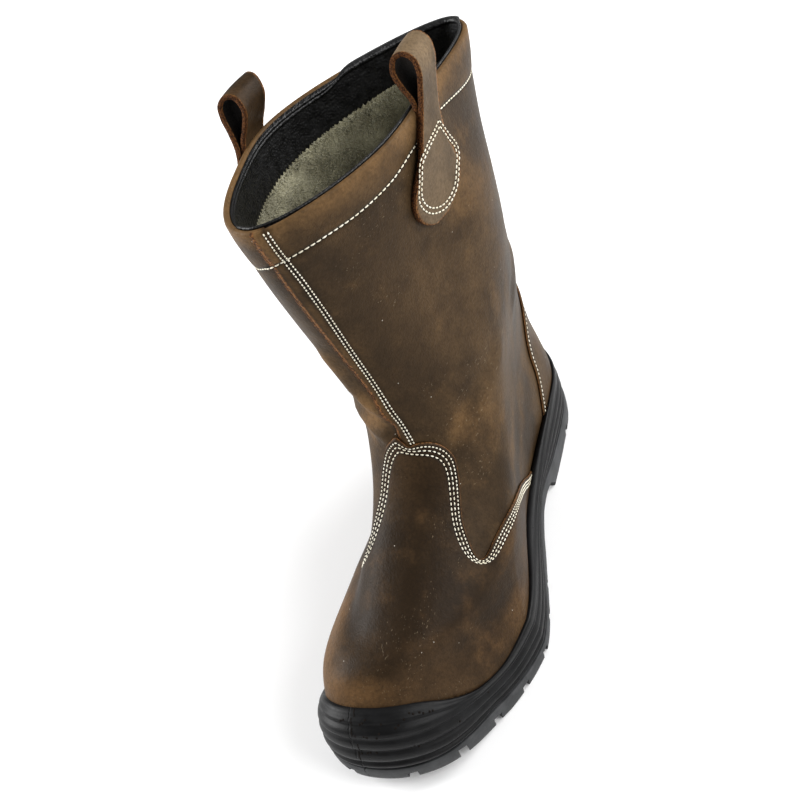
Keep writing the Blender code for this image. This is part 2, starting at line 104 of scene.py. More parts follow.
def curve(knots, values, at):
    """A smooth curve through a short list of values, level beyond its ends."""
    knots = np.asarray(knots, float)
    values = np.asarray(values, float)
    at = np.clip(np.asarray(at, float), knots[0], knots[-1])
    slopes = np.gradient(values, knots)
    cell = np.clip(np.searchsorted(knots, at, side="right") - 1, 0, len(knots) - 2)
    span = knots[cell + 1] - knots[cell]
    t = (at - knots[cell]) / span
    start = values[cell] * (1 + 2 * t) * (1 - t) ** 2 + slopes[cell] * span * t * (1 - t) ** 2
    end = values[cell + 1] * t * t * (3 - 2 * t) + slopes[cell + 1] * span * t * t * (t - 1)
    return start + end


def smooth(low, high, at):
    """Rises from 0 at low to 1 at high with level ends."""
    t = np.clip((np.asarray(at, float) - low) / (high - low), 0, 1)
    return t * t * (3 - 2 * t)


def bell(middle, width, at):
    """A soft hump of height 1."""
    return np.exp(-((np.asarray(at, float) - middle) / width) ** 2)


def ring_points(v, around):
    """Points of the ring at share v, in millimetres from the back of the heel."""
    knots = np.linspace(0, 1, len(RINGS))
    columns = np.array(RINGS, float).T
    ring = {name: float(curve(knots, values, v)) for name, values in zip(RING_COLUMNS, columns)}
    length = ring["front_x"] - ring["back_x"]
    share = (1 + np.cos(np.linspace(0, np.pi, DENSE))) / 2

    def half_width(s):
        widths = (ring["heel_half"], ring["waist_half"], ring["ball_half"])
        back = np.clip(1 - s * length / ring["back_round"], 0, 1) ** ring["power"]
        front = np.clip(1 - (1 - s) * length / ring["front_round"], 0, 1) ** ring["power"]
        return curve(WIDTH_STATIONS, widths, s) * ((1 - back) * (1 - front)) ** (1 / ring["power"])

    walked = np.hypot(np.diff(share * length), np.diff(half_width(share)))
    walked = np.concatenate([[0], np.cumsum(walked)])
    side = np.where(around <= 0.5, 1.0, -1.0)
    s = np.interp(np.where(around <= 0.5, 2 * around, 2 * (1 - around)), walked / walked[-1], share)
    half = side * half_width(s)
    centre = curve(CENTRE_STATIONS, [ring[n] for n in ("back_y", "waist_y", "ball_y", "front_y")], s)
    widest = max(ring["heel_half"], ring["waist_half"], ring["ball_half"])
    z = ring["back_z"] + (ring["front_z"] - ring["back_z"]) * s + ring["tilt"] * half / widest
    z = z + ring["sag"] * s ** 3 * (1 - s) / SAG_PEAK
    return np.stack([ring["back_x"] + length * s, centre + half, z], -1)


# %% The leather's face as a table
V_STEPS = 321
AROUND_STEPS = 1024

every_around = np.arange(AROUND_STEPS) / AROUND_STEPS
face_points = np.array([ring_points(v, every_around) for v in np.linspace(0, 1, V_STEPS)])
ahead = np.roll(face_points, -1, axis=1) - np.roll(face_points, 1, axis=1)
face_normals = np.cross(ahead, np.gradient(face_points, axis=0))
face_normals /= np.linalg.norm(face_normals, axis=-1, keepdims=True)


def look_up(table, v, around):
    """A table's value at any place of the leather, mixed from its four neighbours."""
    row = np.clip(v, 0, 1) * (V_STEPS - 1)
    column = np.mod(around, 1.0) * AROUND_STEPS
    i = np.minimum(row.astype(int), V_STEPS - 2)
    j = column.astype(int) % AROUND_STEPS
    k = (j + 1) % AROUND_STEPS
    up = (row - i)[..., None]
    on = (column - np.floor(column))[..., None]
    low = table[i, j] * (1 - on) + table[i, k] * on
    high = table[i + 1, j] * (1 - on) + table[i + 1, k] * on
    return low * (1 - up) + high * up


print("the collar stands", round(float(face_points[-1, :, 2].max()), 1), "mm over the floor")

# %% [markdown]
# Leather is never quite smooth. The outer panel laps over the inner one at the front, the collar band is
# lightly padded between its seam and the rim, and the ankle has a few soft folds where the shaft tips
# forward. They are placed one by one, as soft ridges and troughs along short paths on the leather, so they
# look right from any side.

# %% Lap, collar band and folds
LAP_STEP = 1.2
LAP_FADE = 0.07
LAP_RISE = (0.655, 0.70)
LAP_RAMP = (-0.020, -0.003)
RIM_LENGTH = 445.0
SHAFT_LENGTH = 416.0
COLLAR_AROUND = (-0.5, -0.35, -0.18, -0.049, 0.016, 0.059, 0.108,
                 0.164, 0.202, 0.269, 0.309, 0.355, 0.401, 0.5)
COLLAR_V = (0.925, 0.930, 0.934, 0.9375, 0.957, 0.958, 0.956,
            0.958, 0.964, 0.966, 0.959, 0.948, 0.9375, 0.925)
JUST_BELOW_RIM = 0.99
BAND_PUFF = 1.3
BAND_CREST = 0.72
BAND_GROOVE = 0.6
GROOVE_WIDTH = 1.1
FOLDS = (
    (2.6, 7.0, ((0.800, -0.030), (0.765, -0.030), (0.742, -0.022), (0.726, -0.004))),
    (-2.4, 6.5, ((0.712, -0.085), (0.706, -0.050), (0.703, -0.022), (0.700, -0.006))),
    (1.8, 5.0, ((0.682, -0.085), (0.682, -0.054), (0.678, -0.025))),
    (-1.6, 5.0, ((0.770, -0.075), (0.752, -0.052), (0.735, -0.042))),
    (1.2, 9.0, ((0.720, -0.130), (0.716, -0.100), (0.722, -0.075))),
    (-0.9, 10.0, ((0.640, 0.090), (0.655, 0.130), (0.650, 0.180))),
    (0.8, 12.0, ((0.610, 0.100), (0.625, 0.150), (0.620, 0.210))),
    (-0.8, 9.0, ((0.600, 0.330), (0.590, 0.400), (0.595, 0.460))),
    (0.8, 12.0, ((0.560, 0.340), (0.552, 0.420), (0.560, 0.490))),
    (-0.9, 9.0, ((0.640, -0.330), (0.625, -0.260), (0.640, -0.190))),
)
FOLD_SAMPLES = 24


def near_front(around):
    """The share around, counted from -0.5 to 0.5 with 0 at the front."""
    return np.mod(np.asarray(around, float) + 0.5, 1.0) - 0.5


def collar_seam(around):
    """The share v of the stitched line below the collar."""
    return curve(COLLAR_AROUND, COLLAR_V, near_front(around))


def relief(v, around):
    """How far the leather stands out of its plain rings, in millimetres."""
    out = LAP_STEP * smooth(*LAP_RISE, v) * (1 - smooth(0, LAP_FADE, around)) * smooth(*LAP_RAMP, around)
    seam = collar_seam(around)
    band = np.clip((v - seam) / (1 - seam), 0, 1)
    out = out + BAND_PUFF * np.sin(np.pi * BAND_CREST * band)
    out = out - BAND_GROOVE * bell(0, GROOVE_WIDTH, (v - seam) * SHAFT_LENGTH)
    front = near_front(around)
    for height, width, path in FOLDS:
        steps = np.linspace(0, 1, FOLD_SAMPLES)
        knots = np.linspace(0, 1, len(path))
        path_v, path_around = (curve(knots, line, steps) for line in np.array(path).T)
        away = np.full(np.shape(v), np.inf)
        for fold_v, fold_around in zip(path_v, path_around):
            step = np.hypot((v - fold_v) * SHAFT_LENGTH, (front - fold_around) * RIM_LENGTH)
            away = np.minimum(away, step)
        out = out + height * bell(0, width, away)
    return out


def off_rings(v, around, out):
    """Points at a distance out of the plain rings, in millimetres from the back of the heel."""
    return look_up(face_points, v, around) + look_up(face_normals, v, around) * np.asarray(out)[..., None]


def on_leather(v, around, out):
    """Points at a distance out of the leather's face, in millimetres from the back of the heel."""
    v, around = np.broadcast_arrays(np.asarray(v, float), np.asarray(around, float))
    return off_rings(v, around, out + relief(v, around))


def over_rim(around, out, rise):
    """Points over the collar's edge: out of the shaft and up along it."""
    top = look_up(face_points, np.ones_like(around), around)
    up = top - look_up(face_points, np.full_like(around, JUST_BELOW_RIM), around)
    up /= np.linalg.norm(up, axis=-1, keepdims=True)
    normal = look_up(face_normals, np.ones_like(around), around)
    return top + normal * np.asarray(out)[..., None] + up * np.asarray(rise)[..., None]


print("folds placed:", len(FOLDS))

# %% [markdown]
# A material is a small sum: clouds of colour, grain, wear. One class holds a value on its way through the
# material, so that the sum can be written as a sum, and one class holds the material and adds any other
# node.

# %% Shader sums
class Shade:
    """A value or colour in a material. Arithmetic on it adds Math nodes."""

    def __init__(self, finish, socket):
        self.finish = finish
        self.socket = socket

    def sum(self, operation, other):
        return self.finish.add("ShaderNodeMath", {"operation": operation}, {0: self, 1: other})

    def __add__(self, other):
        return self.sum("ADD", other)

    def __sub__(self, other):
        return self.sum("SUBTRACT", other)

    def __mul__(self, other):
        return self.sum("MULTIPLY", other)

    def size(self):
        """The value without its sign."""
        return self.sum("ABSOLUTE", 0.0)

    def between(self, low, high):
        """0 where the value is at low, 1 where it is at high, with soft ends."""
        settings = {"interpolation_type": "SMOOTHSTEP"}
        sockets = {"Value": self, "From Min": low, "From Max": high}
        return self.finish.add("ShaderNodeMapRange", settings, sockets)


DOT_CORE = 0.6
DOT_CHOICE = 0.02


class Finish:
    """One procedural material on Object coordinates, sized in millimetres."""

    def __init__(self, name):
        self.material = bpy.data.materials.new(name)
        self.material.use_nodes = True
        self.tree = self.material.node_tree
        self.shader = self.tree.nodes["Principled BSDF"]
        self.place = self.add("ShaderNodeTexCoord", {}, {}, "Object")

    def add(self, kind, settings, sockets, output=0):
        """A node of this kind, with its settings made first and its sockets filled or linked."""
        node = self.tree.nodes.new(kind)
        for name, value in settings.items():
            setattr(node, name, value)
        for name, value in sockets.items():
            self.join(node.inputs[name], value)
        return Shade(self, node.outputs[output])

    def join(self, socket, value):
        if isinstance(value, Shade):
            self.tree.links.new(value.socket, socket)
        else:
            socket.default_value = value

    def give(self, **sockets):
        """Fills the shader's own sockets, named with _ for a blank."""
        for name, value in sockets.items():
            self.join(self.shader.inputs[name.replace("_", " ")], value)

    def mark(self, name):
        """The piece's own attribute of that name."""
        return self.add("ShaderNodeAttribute", {"attribute_name": name}, {}, "Fac")

    def stretched(self, turn, scale):
        """Object coordinates turned by degrees and scaled, for a pattern with a direction."""
        turn = [math.radians(angle) for angle in turn]
        return self.add("ShaderNodeMapping", {}, {"Vector": self.place, "Rotation": turn, "Scale": scale})

    def clouds(self, size, detail=3.0, rough=0.55, place=None):
        """Soft noise with clouds of about this size in millimetres."""
        sockets = {"Vector": place or self.place, "Scale": 1 / (size * MM)}
        sockets.update({"Detail": detail, "Roughness": rough})
        return self.add("ShaderNodeTexNoise", {}, sockets)

    def cells(self, size, output="Distance", feature="F1", place=None):
        """Cells of about this size in millimetres."""
        sockets = {"Vector": place or self.place, "Scale": 1 / (size * MM)}
        return self.add("ShaderNodeTexVoronoi", {"feature": feature}, sockets, output)

    def mix(self, share, first, second):
        """A colour between two colours."""
        colours = [tone if isinstance(tone, Shade) else (*tone, 1.0) for tone in (first, second)]
        return self.add("ShaderNodeMix", {"data_type": "RGBA"}, {0: share, 6: colours[0], 7: colours[1]}, 2)

    def specks(self, size, radius, share):
        """A few dots: a share of the cells of this size holds one dot of this radius in cell sizes."""
        chosen = self.add("ShaderNodeSeparateColor", {}, {"Color": self.cells(size, "Color")}, "Red")
        dots = self.cells(size).between(radius, radius * DOT_CORE)
        return dots * chosen.between(1 - share, 1 - share + DOT_CHOICE)

    def raise_by(self, height, depth):
        """Bumps the surface by height times depth millimetres."""
        sockets = {"Height": height, "Distance": depth * MM, "Strength": 1.0}
        self.give(Normal=self.add("ShaderNodeBump", {}, sockets))


def dimmed(tone, share):
    """A tone dimmed to a share of itself."""
    return tuple(part * share for part in tone)


print("shader helpers ready")

# %% [markdown]
# Oiled leather darkens in clouds and pales to tan where it is bent or rubbed. Two noises make the clouds,
# and marks on the pieces say where it is cut, where it is rubbed or carries a painted highlight, where it
# is darker in patches or carries painted shade and shadow, and where painted shade lies along the thread
# grooves. Thin stretched noise draws the scratches, and fine cells give the grain. The cut edge shows the
# rusty, fibrous inside of the hide.

# %% Leather
CLOUD_SIZE = 60.0
PATCH_SIZE = 16.0
FINE_SIZE = 1.6
PORE_SIZE = 0.9
SWELL_SIZE = 5.0
SCRATCH_WIDTH = 0.9
SCRATCH_STRETCH = (0.022, 1.0, 1.0)
SCRATCH_TURNS = ((20, 0, 35), (-30, 15, -50))
SCRATCH_TONE = (0.23, 0.175, 0.11)
SCRATCHED_PATCH = 28.0
DUST = (6.5, 0.048, 0.20)
DUST_TONE = (0.58, 0.54, 0.46)
CUT_FIBRE = 1.2
CUT_DARK = (0.040, 0.016, 0.006)
CUT_RUST = (0.21, 0.092, 0.030)
LEATHER_SHINE = 0.08
LEATHER_BUMP = 0.2


def oiled_leather(name, dark, middle, tan, rough):
    """Oiled leather: clouds, scratches, specks, grain, rubbed places, painted highlight, shade and shadow.
    """
    finish = Finish(name)
    clouds = finish.clouds(CLOUD_SIZE, 4.0, 0.6)
    patches = finish.clouds(PATCH_SIZE, 4.0, 0.62)
    fine = finish.clouds(FINE_SIZE, 3.0, 0.6)
    rub_and_highlight = finish.mark("rub_and_highlight")
    cut = finish.mark("cut")
    deep = finish.mark("deep")
    thread_shade = finish.mark("thread_shade")
    tone = finish.mix((clouds * 0.65 + patches * 0.35).between(0.36, 0.62), dark, middle)
    # This mark darkens the leather: darker patches, painted shade on the vamp and a painted shadow on the
    # end that runs under the lap.
    tone = finish.mix(deep * 0.8, tone, dark)
    # This mark holds real rub and a few painted highlights, both laid on as tan.
    worn_and_highlit = (rub_and_highlight * (patches * 0.8 + clouds * 0.7)).between(0.12, 0.85)
    tone = finish.mix(worn_and_highlit, tone, tan)
    tone = finish.mix((patches - clouds * 0.35).between(0.40, 0.62) * 0.2, tone, tan)
    tone = finish.mix(fine.between(0.35, 0.75) * 0.36, tone, dimmed(dark, 0.45))
    # Painted shade along the grooves in which the threads lie.
    tone = finish.mix(thread_shade * 0.85, tone, dimmed(dark, 0.22))
    lines = 0.0
    for turn in SCRATCH_TURNS:
        along = finish.clouds(SCRATCH_WIDTH, 1.0, 0.5, finish.stretched(turn, SCRATCH_STRETCH))
        lines = along.between(0.70, 0.76) + lines
    few = finish.clouds(SCRATCHED_PATCH, 1.0).between(0.52, 0.66)
    scratches = lines * few
    tone = finish.mix(scratches * 0.4, tone, SCRATCH_TONE)
    tone = finish.mix(finish.specks(*DUST) * 0.85, tone, DUST_TONE)
    edge = finish.mix(finish.clouds(CUT_FIBRE, 2.0).between(0.35, 0.65), CUT_DARK, CUT_RUST)
    tone = finish.mix(cut.between(0.25, 0.8), tone, edge)
    grain = finish.cells(PORE_SIZE) * 0.5 + fine * 0.6 + finish.clouds(SWELL_SIZE, 2.0) * 1.2
    roughness = patches * 0.16 + fine * 0.12 + rub_and_highlight * 0.05 + (rough - 0.14)
    finish.give(Base_Color=tone, Roughness=roughness, Specular_IOR_Level=LEATHER_SHINE)
    finish.raise_by(grain - scratches * 0.3, LEATHER_BUMP)
    return finish.material


LEATHERS = {
    "shaft_leather": ((0.026, 0.0155, 0.0072), (0.068, 0.0405, 0.0185), (0.155, 0.086, 0.034), 0.50),
    "vamp_leather": ((0.019, 0.0112, 0.0054), (0.050, 0.0285, 0.0128), (0.125, 0.066, 0.026), 0.47),
    "loop_leather": ((0.055, 0.038, 0.023), (0.105, 0.074, 0.045), (0.20, 0.137, 0.077), 0.55),
    # The back of the strap is near black: the flesh side, with painted shade inside the loop's eye.
    "loop_flesh_painted_shade": ((0.002, 0.0014, 0.001), (0.005, 0.003, 0.002), (0.012, 0.007, 0.004), 0.80),
}
leathers = {name: oiled_leather(name, *tones) for name, tones in LEATHERS.items()}
print("leathers:", sorted(leathers))

# %% Cut edges
EDGE_FIBRE = 0.9
EDGE_PITS = 0.5
EDGE_BUMP = 0.35
EDGE_TONES = ((0.020, 0.008, 0.0035), (0.115, 0.043, 0.013))

cut_finish = Finish("raw_edge")
fibre = cut_finish.clouds(EDGE_FIBRE, 3.0, 0.7)
rust = cut_finish.mix(fibre.between(0.38, 0.62), *EDGE_TONES)
cut_finish.give(Base_Color=rust, Roughness=fibre * 0.2 + 0.72, Specular_IOR_Level=0.1)
cut_finish.raise_by(fibre + cut_finish.cells(EDGE_PITS), EDGE_BUMP)
raw_edge = cut_finish.material
print("cut edge:", raw_edge.name)

# %% [markdown]
# A leather panel starts as a flat grid, as a cutter's pattern does, and its corners are moved to their
# places on the boot. Solidify gives the hide its thickness, and its rim takes the material of the cut
# edge. Marks on the corners tell the material where the leather is cut, where it is rubbed or carries a
# painted highlight, where painted shade lies along its thread grooves, and where it is darker in patches
# or carries painted shade and shadow.

# %% Sheets
MERGE = 1e-6


def lay_sheet(name, points, looks, marks, closed=False):
    """A grid with its corners at rows and columns of points; a closed one is merged where its ends meet."""
    rows, columns = points.shape[:2]
    bpy.ops.object.select_all(action="DESELECT")
    bpy.ops.mesh.primitive_grid_add(x_subdivisions=columns - 1, y_subdivisions=rows - 1, size=1)
    sheet = bpy.context.object
    sheet.name = name
    sheet.data.name = name
    sheet.data.vertices.foreach_set("co", ((points.reshape(-1, 3) - FOOT_MIDDLE) * MM).ravel())
    for mark, values in marks.items():
        layer = sheet.data.attributes.new(mark, "FLOAT", "POINT")
        layer.data.foreach_set("value", np.broadcast_to(values, (rows, columns)).astype(np.float32).ravel())
    for look in looks:
        sheet.data.materials.append(look)
    if closed:
        bpy.ops.object.mode_set(mode="EDIT")
        bpy.ops.mesh.select_all(action="SELECT")
        bpy.ops.mesh.remove_doubles(threshold=MERGE)
        bpy.ops.object.mode_set(mode="OBJECT")
    bpy.ops.object.shade_smooth()
    return sheet


def thicken(sheet, thickness, offset=-1.0):
    """Gives the sheet a wall, with its cut rim in the last material and its back in the one before."""
    wall = sheet.modifiers.new("wall", "SOLIDIFY")
    wall.thickness = thickness * MM
    wall.offset = offset
    wall.material_offset_rim = len(sheet.data.materials) - 1
    wall.material_offset = max(len(sheet.data.materials) - 2, 0)
    bpy.context.view_layer.objects.active = sheet
    bpy.ops.object.modifier_apply(modifier=wall.name)


def fit(piece, slot, *nodes):
    """The piece rides on the boot and stands for these nodes. The slot is not used."""
    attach(piece, "root")
    if nodes:
        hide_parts(*nodes)
    print(piece.name, "has", len(piece.data.polygons), "faces")


# %% [markdown]
# The leather ends a little below the lip of the sole. The sole's sizes along the boot are a short table:
# the lip, the seat between the cup and the tread, the tread's own height and how far the wall spreads.
# From it each column of the leather gets the share v at which it ends.

# %% Where the leather ends
SOLE_COLUMNS = ("x", "lip", "seat", "tread", "flare")
SOLE = (
    (1, 43.6, 15.2, 3.2, -0.6), (12, 40.2, 15.4, 0, -0.6), (40, 38.7, 13.5, 0, -0.6),
    (75, 35.5, 15.2, 0, -0.8), (112, 30.7, 19.3, 0, -1.6), (150, 28.5, 10.7, 0, -0.6),
    (205, 32.5, 8.5, 0, 1.5), (240, 33, 11.6, 0, 0.8), (254, 37, 14.0, 2, 0.5),
    (266, 44, 16.4, 5, 0.3), (276, 51.5, 18.2, 8, 0.1), (287, 58, 21.6, 11.4, 0),
)
FOOT_DEPTH = 2.6
FOOT_ROWS = V_STEPS // 3

sole_table = dict(zip(SOLE_COLUMNS, np.array(SOLE, float).T))


def sole_at(name, x):
    """One column of the sole's table at x."""
    value = curve(sole_table["x"], sole_table[name], x)
    return np.maximum(value, 0) if name == "tread" else value


over_lip = face_points[:FOOT_ROWS, :, 2] - sole_at("lip", face_points[:FOOT_ROWS, :, 0]) + FOOT_DEPTH
foot_row = np.argmax(over_lip > 0, axis=0)
foot_shares = np.broadcast_to((foot_row / (V_STEPS - 1))[None, :, None], (V_STEPS, AROUND_STEPS, 1))


def foot_share(around):
    """The share v at which the leather ends below the lip."""
    around = np.asarray(around, float)
    return look_up(foot_shares, np.zeros_like(around), around)[..., 0]


print("the leather ends at v", [round(float(row / V_STEPS), 3) for row in (foot_row.min(), foot_row.max())])

# %% [markdown]
# The shaft is one hide wrapped round the leg: its raw front edge laps over the other end, which runs on
# below. Its columns crowd at the raw edge, so the edge can be rounded. Its rows crowd at the collar's
# seam, which sinks a groove into it, and its last rows curl over the rim.

# %% Shaft
SEAM_EDGE = -0.001
SEAM_TUCK = 1.014
EDGE_STEPS = np.array((0, 0.3, 0.8, 1.5, 2.4, 3.4, 4.4, 5.4, 6.4, 8.0, 10.0))
SHAFT_COLUMNS = 250
SHAFT_ROWS = 124
GROOVE_STEPS = np.array((-3.2, -2.4, -1.8, -1.3, -0.9, -0.5, 0.0, 0.5, 0.9, 1.3, 1.8, 2.4, 3.2))
BAND_ROWS = 20
CURL = 1.6
CURL_TURNS = np.radians(np.linspace(15, 175, 10))
FOLD_DOWN = (1.0, 2.0, 3.0)
FAR_SIDE = (-0.39, -0.35, -0.06, -0.02)
SEAM_V = (0.667, 0.716, 0.750, 0.790, 0.836, 0.884, 0.930, 0.960, 0.999)
SEAM_AROUND = (0.0140, 0.0112, 0.0107, 0.0127, 0.0156, 0.0178, 0.0175, 0.0152, 0.0142)
HIDE = 1.15
SHADOW_REACH = 2.0
EDGE_DROP = 0.8
EDGE_FALL = 0.7
FOLD_ALL_ROUND = 0.05
BAND_START = 0.006
BAND_RUB = 0.42
RIM_RUB = 0.35
RIM_RUBBED = (0.965, 1.0)
LAP_RUB = 0.5
LAP_RUBBED = (4.0, 3.0)
SEAM_GROOVE = 2.0
COLLAR_GROOVE = 0.9
CUT_REACH = (0.9, 2.6)
# Tan patches: rub where the leather bends and at the collar, and painted highlights on the upper outer side
# of the shaft.
TAN_AND_HIGHLIGHT_PATCHES = (
    (0.9, 0.030, 0.020, 0.735, -0.015),
    (0.8, 0.022, 0.030, 0.800, -0.035),
    (0.9, 0.018, 0.025, 0.700, -0.040),
    (0.8, 0.025, 0.020, 0.665, -0.058),
    (0.7, 0.040, 0.030, 0.640, 0.085),
    (0.55, 0.045, 0.035, 0.600, 0.130),
    (0.5, 0.050, 0.040, 0.540, 0.170),
    (0.5, 0.060, 0.030, 0.700, 0.240),
    (0.45, 0.090, 0.050, 0.860, 0.300),
    (0.6, 0.050, 0.040, 0.865, 0.240),
    (0.5, 0.060, 0.060, 0.420, 0.240),
    (0.5, 0.060, 0.060, 0.250, 0.300),
    (0.5, 0.050, 0.050, 0.600, -0.120),
    (0.5, 0.060, 0.040, 0.800, -0.250),
    (0.5, 0.060, 0.040, 0.580, 0.420),
)
# Darker patches of the leather.
DARK_PATCHES = (
    (0.8, 0.080, 0.045, 0.840, 0.055),
    (0.6, 0.060, 0.040, 0.740, 0.060),
    (0.5, 0.050, 0.040, 0.900, 0.120),
    (0.5, 0.060, 0.050, 0.480, 0.120),
)


def patches_at(places, v, around):
    """Soft patches, listed one by one: strength, size along v and around, and middle."""
    total = np.zeros(np.shape(v))
    for strength, tall, wide, middle_v, middle_around in places:
        total = total + strength * bell(middle_v, tall, v) * bell(middle_around, wide, near_front(around))
    return np.clip(total, 0, 1)


def far_side(around):
    """1 along the inner side of the collar, where the rim's leather folds further in, and 0 elsewhere."""
    front = near_front(around)
    return smooth(*FAR_SIDE[:2], front) * (1 - smooth(*FAR_SIDE[2:], front))


columns = SEAM_EDGE + EDGE_STEPS / RIM_LENGTH
columns = np.concatenate([columns, np.linspace(columns[-1], SEAM_TUCK, SHAFT_COLUMNS)[1:]])
seam = collar_seam(columns)
groove = seam + GROOVE_STEPS[:, None] / SHAFT_LENGTH
below = np.linspace(0, 1, SHAFT_ROWS)[:-1, None]
above = np.linspace(0, 1, BAND_ROWS)[1:, None]
top = 1 - CURL / SHAFT_LENGTH
foot = foot_share(columns)
v = np.concatenate([foot + (groove[0] - foot) * below, groove, groove[-1] + (top - groove[-1]) * above])
around = np.broadcast_to(columns, v.shape)
from_edge = (around - SEAM_EDGE) * RIM_LENGTH
to_lap = (SEAM_EDGE + 1 - around) * RIM_LENGTH
round_off = EDGE_DROP * np.exp(-from_edge / EDGE_FALL)
face = on_leather(v, around, -round_off)
rim_lap = relief(np.ones_like(columns), columns)
inwards = CURL * (np.cos(CURL_TURNS) - 1)
downwards = CURL * (np.sin(CURL_TURNS) - 1)
curl_rows = [over_rim(columns, rim_lap + inward, np.full_like(columns, downward))
             for inward, downward in zip(inwards, downwards)]
fold_share = far_side(columns) + FOLD_ALL_ROUND
curl_rows += [over_rim(columns, rim_lap + inwards[-1], downwards[-1] - down * fold_share)
              for down in FOLD_DOWN]
face = np.concatenate([face, np.array(curl_rows)])
grow = ((0, len(curl_rows)), (0, 0))
over_seam = v - collar_seam(around)
in_band = smooth(0, BAND_START, over_seam) * (BAND_RUB + RIM_RUB * smooth(*RIM_RUBBED, v))
rub_and_highlight = patches_at(TAN_AND_HIGHLIGHT_PATCHES, v, around) + in_band + LAP_RUB * bell(*LAP_RUBBED, from_edge)
# Darker patches, and a painted shadow on the end of the hide that runs on under the lap.
dark_patches_and_shadow = patches_at(DARK_PATCHES, v, around) + bell(0, SHADOW_REACH, to_lap)
# Painted shade along the grooves of the lap seam's threads and the collar's threads.
at_seam = bell(0, SEAM_GROOVE, (near_front(around) - curve(SEAM_V, SEAM_AROUND, v)) * RIM_LENGTH)
at_collar = bell(0, COLLAR_GROOVE, over_seam * SHAFT_LENGTH)
lapped = smooth(*LAP_RISE, v)
marks = {"rub_and_highlight": np.clip(rub_and_highlight, 0, 1), "deep": np.clip(dark_patches_and_shadow, 0, 1),
         "thread_shade": np.maximum(at_seam * lapped, at_collar),
         "cut": (1 - smooth(*CUT_REACH, from_edge)) * lapped}
marks = {mark: np.pad(values, grow, mode="edge") for mark, values in marks.items()}
shaft = lay_sheet("shaft_hide", face, [leathers["shaft_leather"], raw_edge], marks)
thicken(shaft, HIDE)
fit(shaft, "upper", "upper")

# %% [markdown]
# The vamp and the heel counter are cut pieces laid on the shaft. Their outlines are drawn as paths of
# points on the leather. Copies of the outline, each stepped a little further inwards, make the rounded
# edge and the grooves in which the threads lie. The rest of the sheet runs straight down into the sole.

# %% Outlines
GAP = 0.3
OVERLAY = 1.5
OVERLAY_HIDE = 1.4
EDGE_ROUND = 1.0
THREAD_PRESS = 0.35
NUDGE = 0.002
BLUR = 3.0
FALL = 0.65
LOWEST = 0.004
EDGE_RISE = (-0.1, 0.8)
THREAD_GROOVE = 0.42
THREAD_SHADE_WIDTH = 0.75
CUT_FADE = 0.35
EDGE_RUB = 0.4
RUB_FADE = 1.4
VAMP_PATH = (
    (0.04, -0.320), (0.083, -0.304), (0.167, -0.267), (0.26, -0.226), (0.343, -0.187), (0.383, -0.150),
    (0.387, -0.120), (0.388, -0.103), (0.397, -0.089), (0.417, -0.075), (0.453, -0.062), (0.493, -0.051),
    (0.539, -0.044), (0.569, -0.040), (0.618, -0.037), (0.650, -0.030), (0.672, -0.017), (0.684, -0.003),
    (0.674, 0.004), (0.667, 0.008), (0.668, 0.016), (0.654, 0.041), (0.631, 0.056), (0.603, 0.067),
    (0.574, 0.071), (0.527, 0.074), (0.483, 0.076), (0.443, 0.083), (0.408, 0.090), (0.389, 0.0965),
    (0.383, 0.103), (0.385, 0.110), (0.3905, 0.118), (0.3935, 0.130), (0.3915, 0.146), (0.380, 0.167),
    (0.345, 0.197), (0.262, 0.235), (0.180, 0.264), (0.083, 0.306), (0.04, 0.320),
)
COUNTER_PATH = (
    (0.04, 0.382), (0.10, 0.383), (0.17, 0.388), (0.263, 0.401), (0.347, 0.423), (0.393, 0.450),
    (0.405, 0.500), (0.397, 0.550), (0.35, 0.577), (0.263, 0.599), (0.17, 0.612), (0.10, 0.617),
    (0.04, 0.618),
)


def walked_length(points):
    """Lengths along a line of points from its start."""
    steps = np.linalg.norm(np.diff(points, axis=0), axis=-1)
    return np.concatenate([[0], np.cumsum(steps)])


def drawn(path, count):
    """Evenly spaced places along a smooth path through the given places."""
    path_v, path_around = np.array(path, float).T
    knots = walked_length(look_up(face_points, path_v, path_around))
    even = np.linspace(0, knots[-1], count)
    return curve(knots, path_v, even), curve(knots, path_around, even)


def blurred(line, reach):
    """Each value of the line mixed with its neighbours up to this many places away."""
    weights = bell(0, reach / 2, np.arange(-reach, reach + 1))
    padded = np.concatenate([np.repeat(line[:1], reach, 0), line, np.repeat(line[-1:], reach, 0)])
    mixed = [np.convolve(column, weights / weights.sum(), "valid") for column in padded.T]
    return np.stack(mixed, -1)


def step_inwards(v, around, distance):
    """The path moved on the leather to its lower side, and smoothed more the further it goes."""
    reach = 1 + int(round(distance * BLUR))
    v, around = blurred(np.stack([v, around], -1), reach).T
    along = np.gradient(look_up(face_points, v, around), axis=0)
    inwards = blurred(np.cross(along, look_up(face_normals, v, around)), reach)
    inwards /= np.linalg.norm(inwards, axis=-1, keepdims=True)
    by_v = (look_up(face_points, v + NUDGE, around) - look_up(face_points, v - NUDGE, around)) / (2 * NUDGE)
    by_around = look_up(face_points, v, around + NUDGE) - look_up(face_points, v, around - NUDGE)
    by_around = by_around / (2 * NUDGE)
    pairs = ((by_v, by_v), (by_v, by_around), (by_around, by_around))
    tall, skew, wide = ((one * other).sum(-1) for one, other in pairs)
    to_v = (by_v * inwards).sum(-1) * distance
    to_around = (by_around * inwards).sum(-1) * distance
    area = tall * wide - skew * skew
    step_v = (to_v * wide - to_around * skew) / area
    step_around = (to_around * tall - to_v * skew) / area
    return np.clip(v + step_v, LOWEST, 1), around + step_around


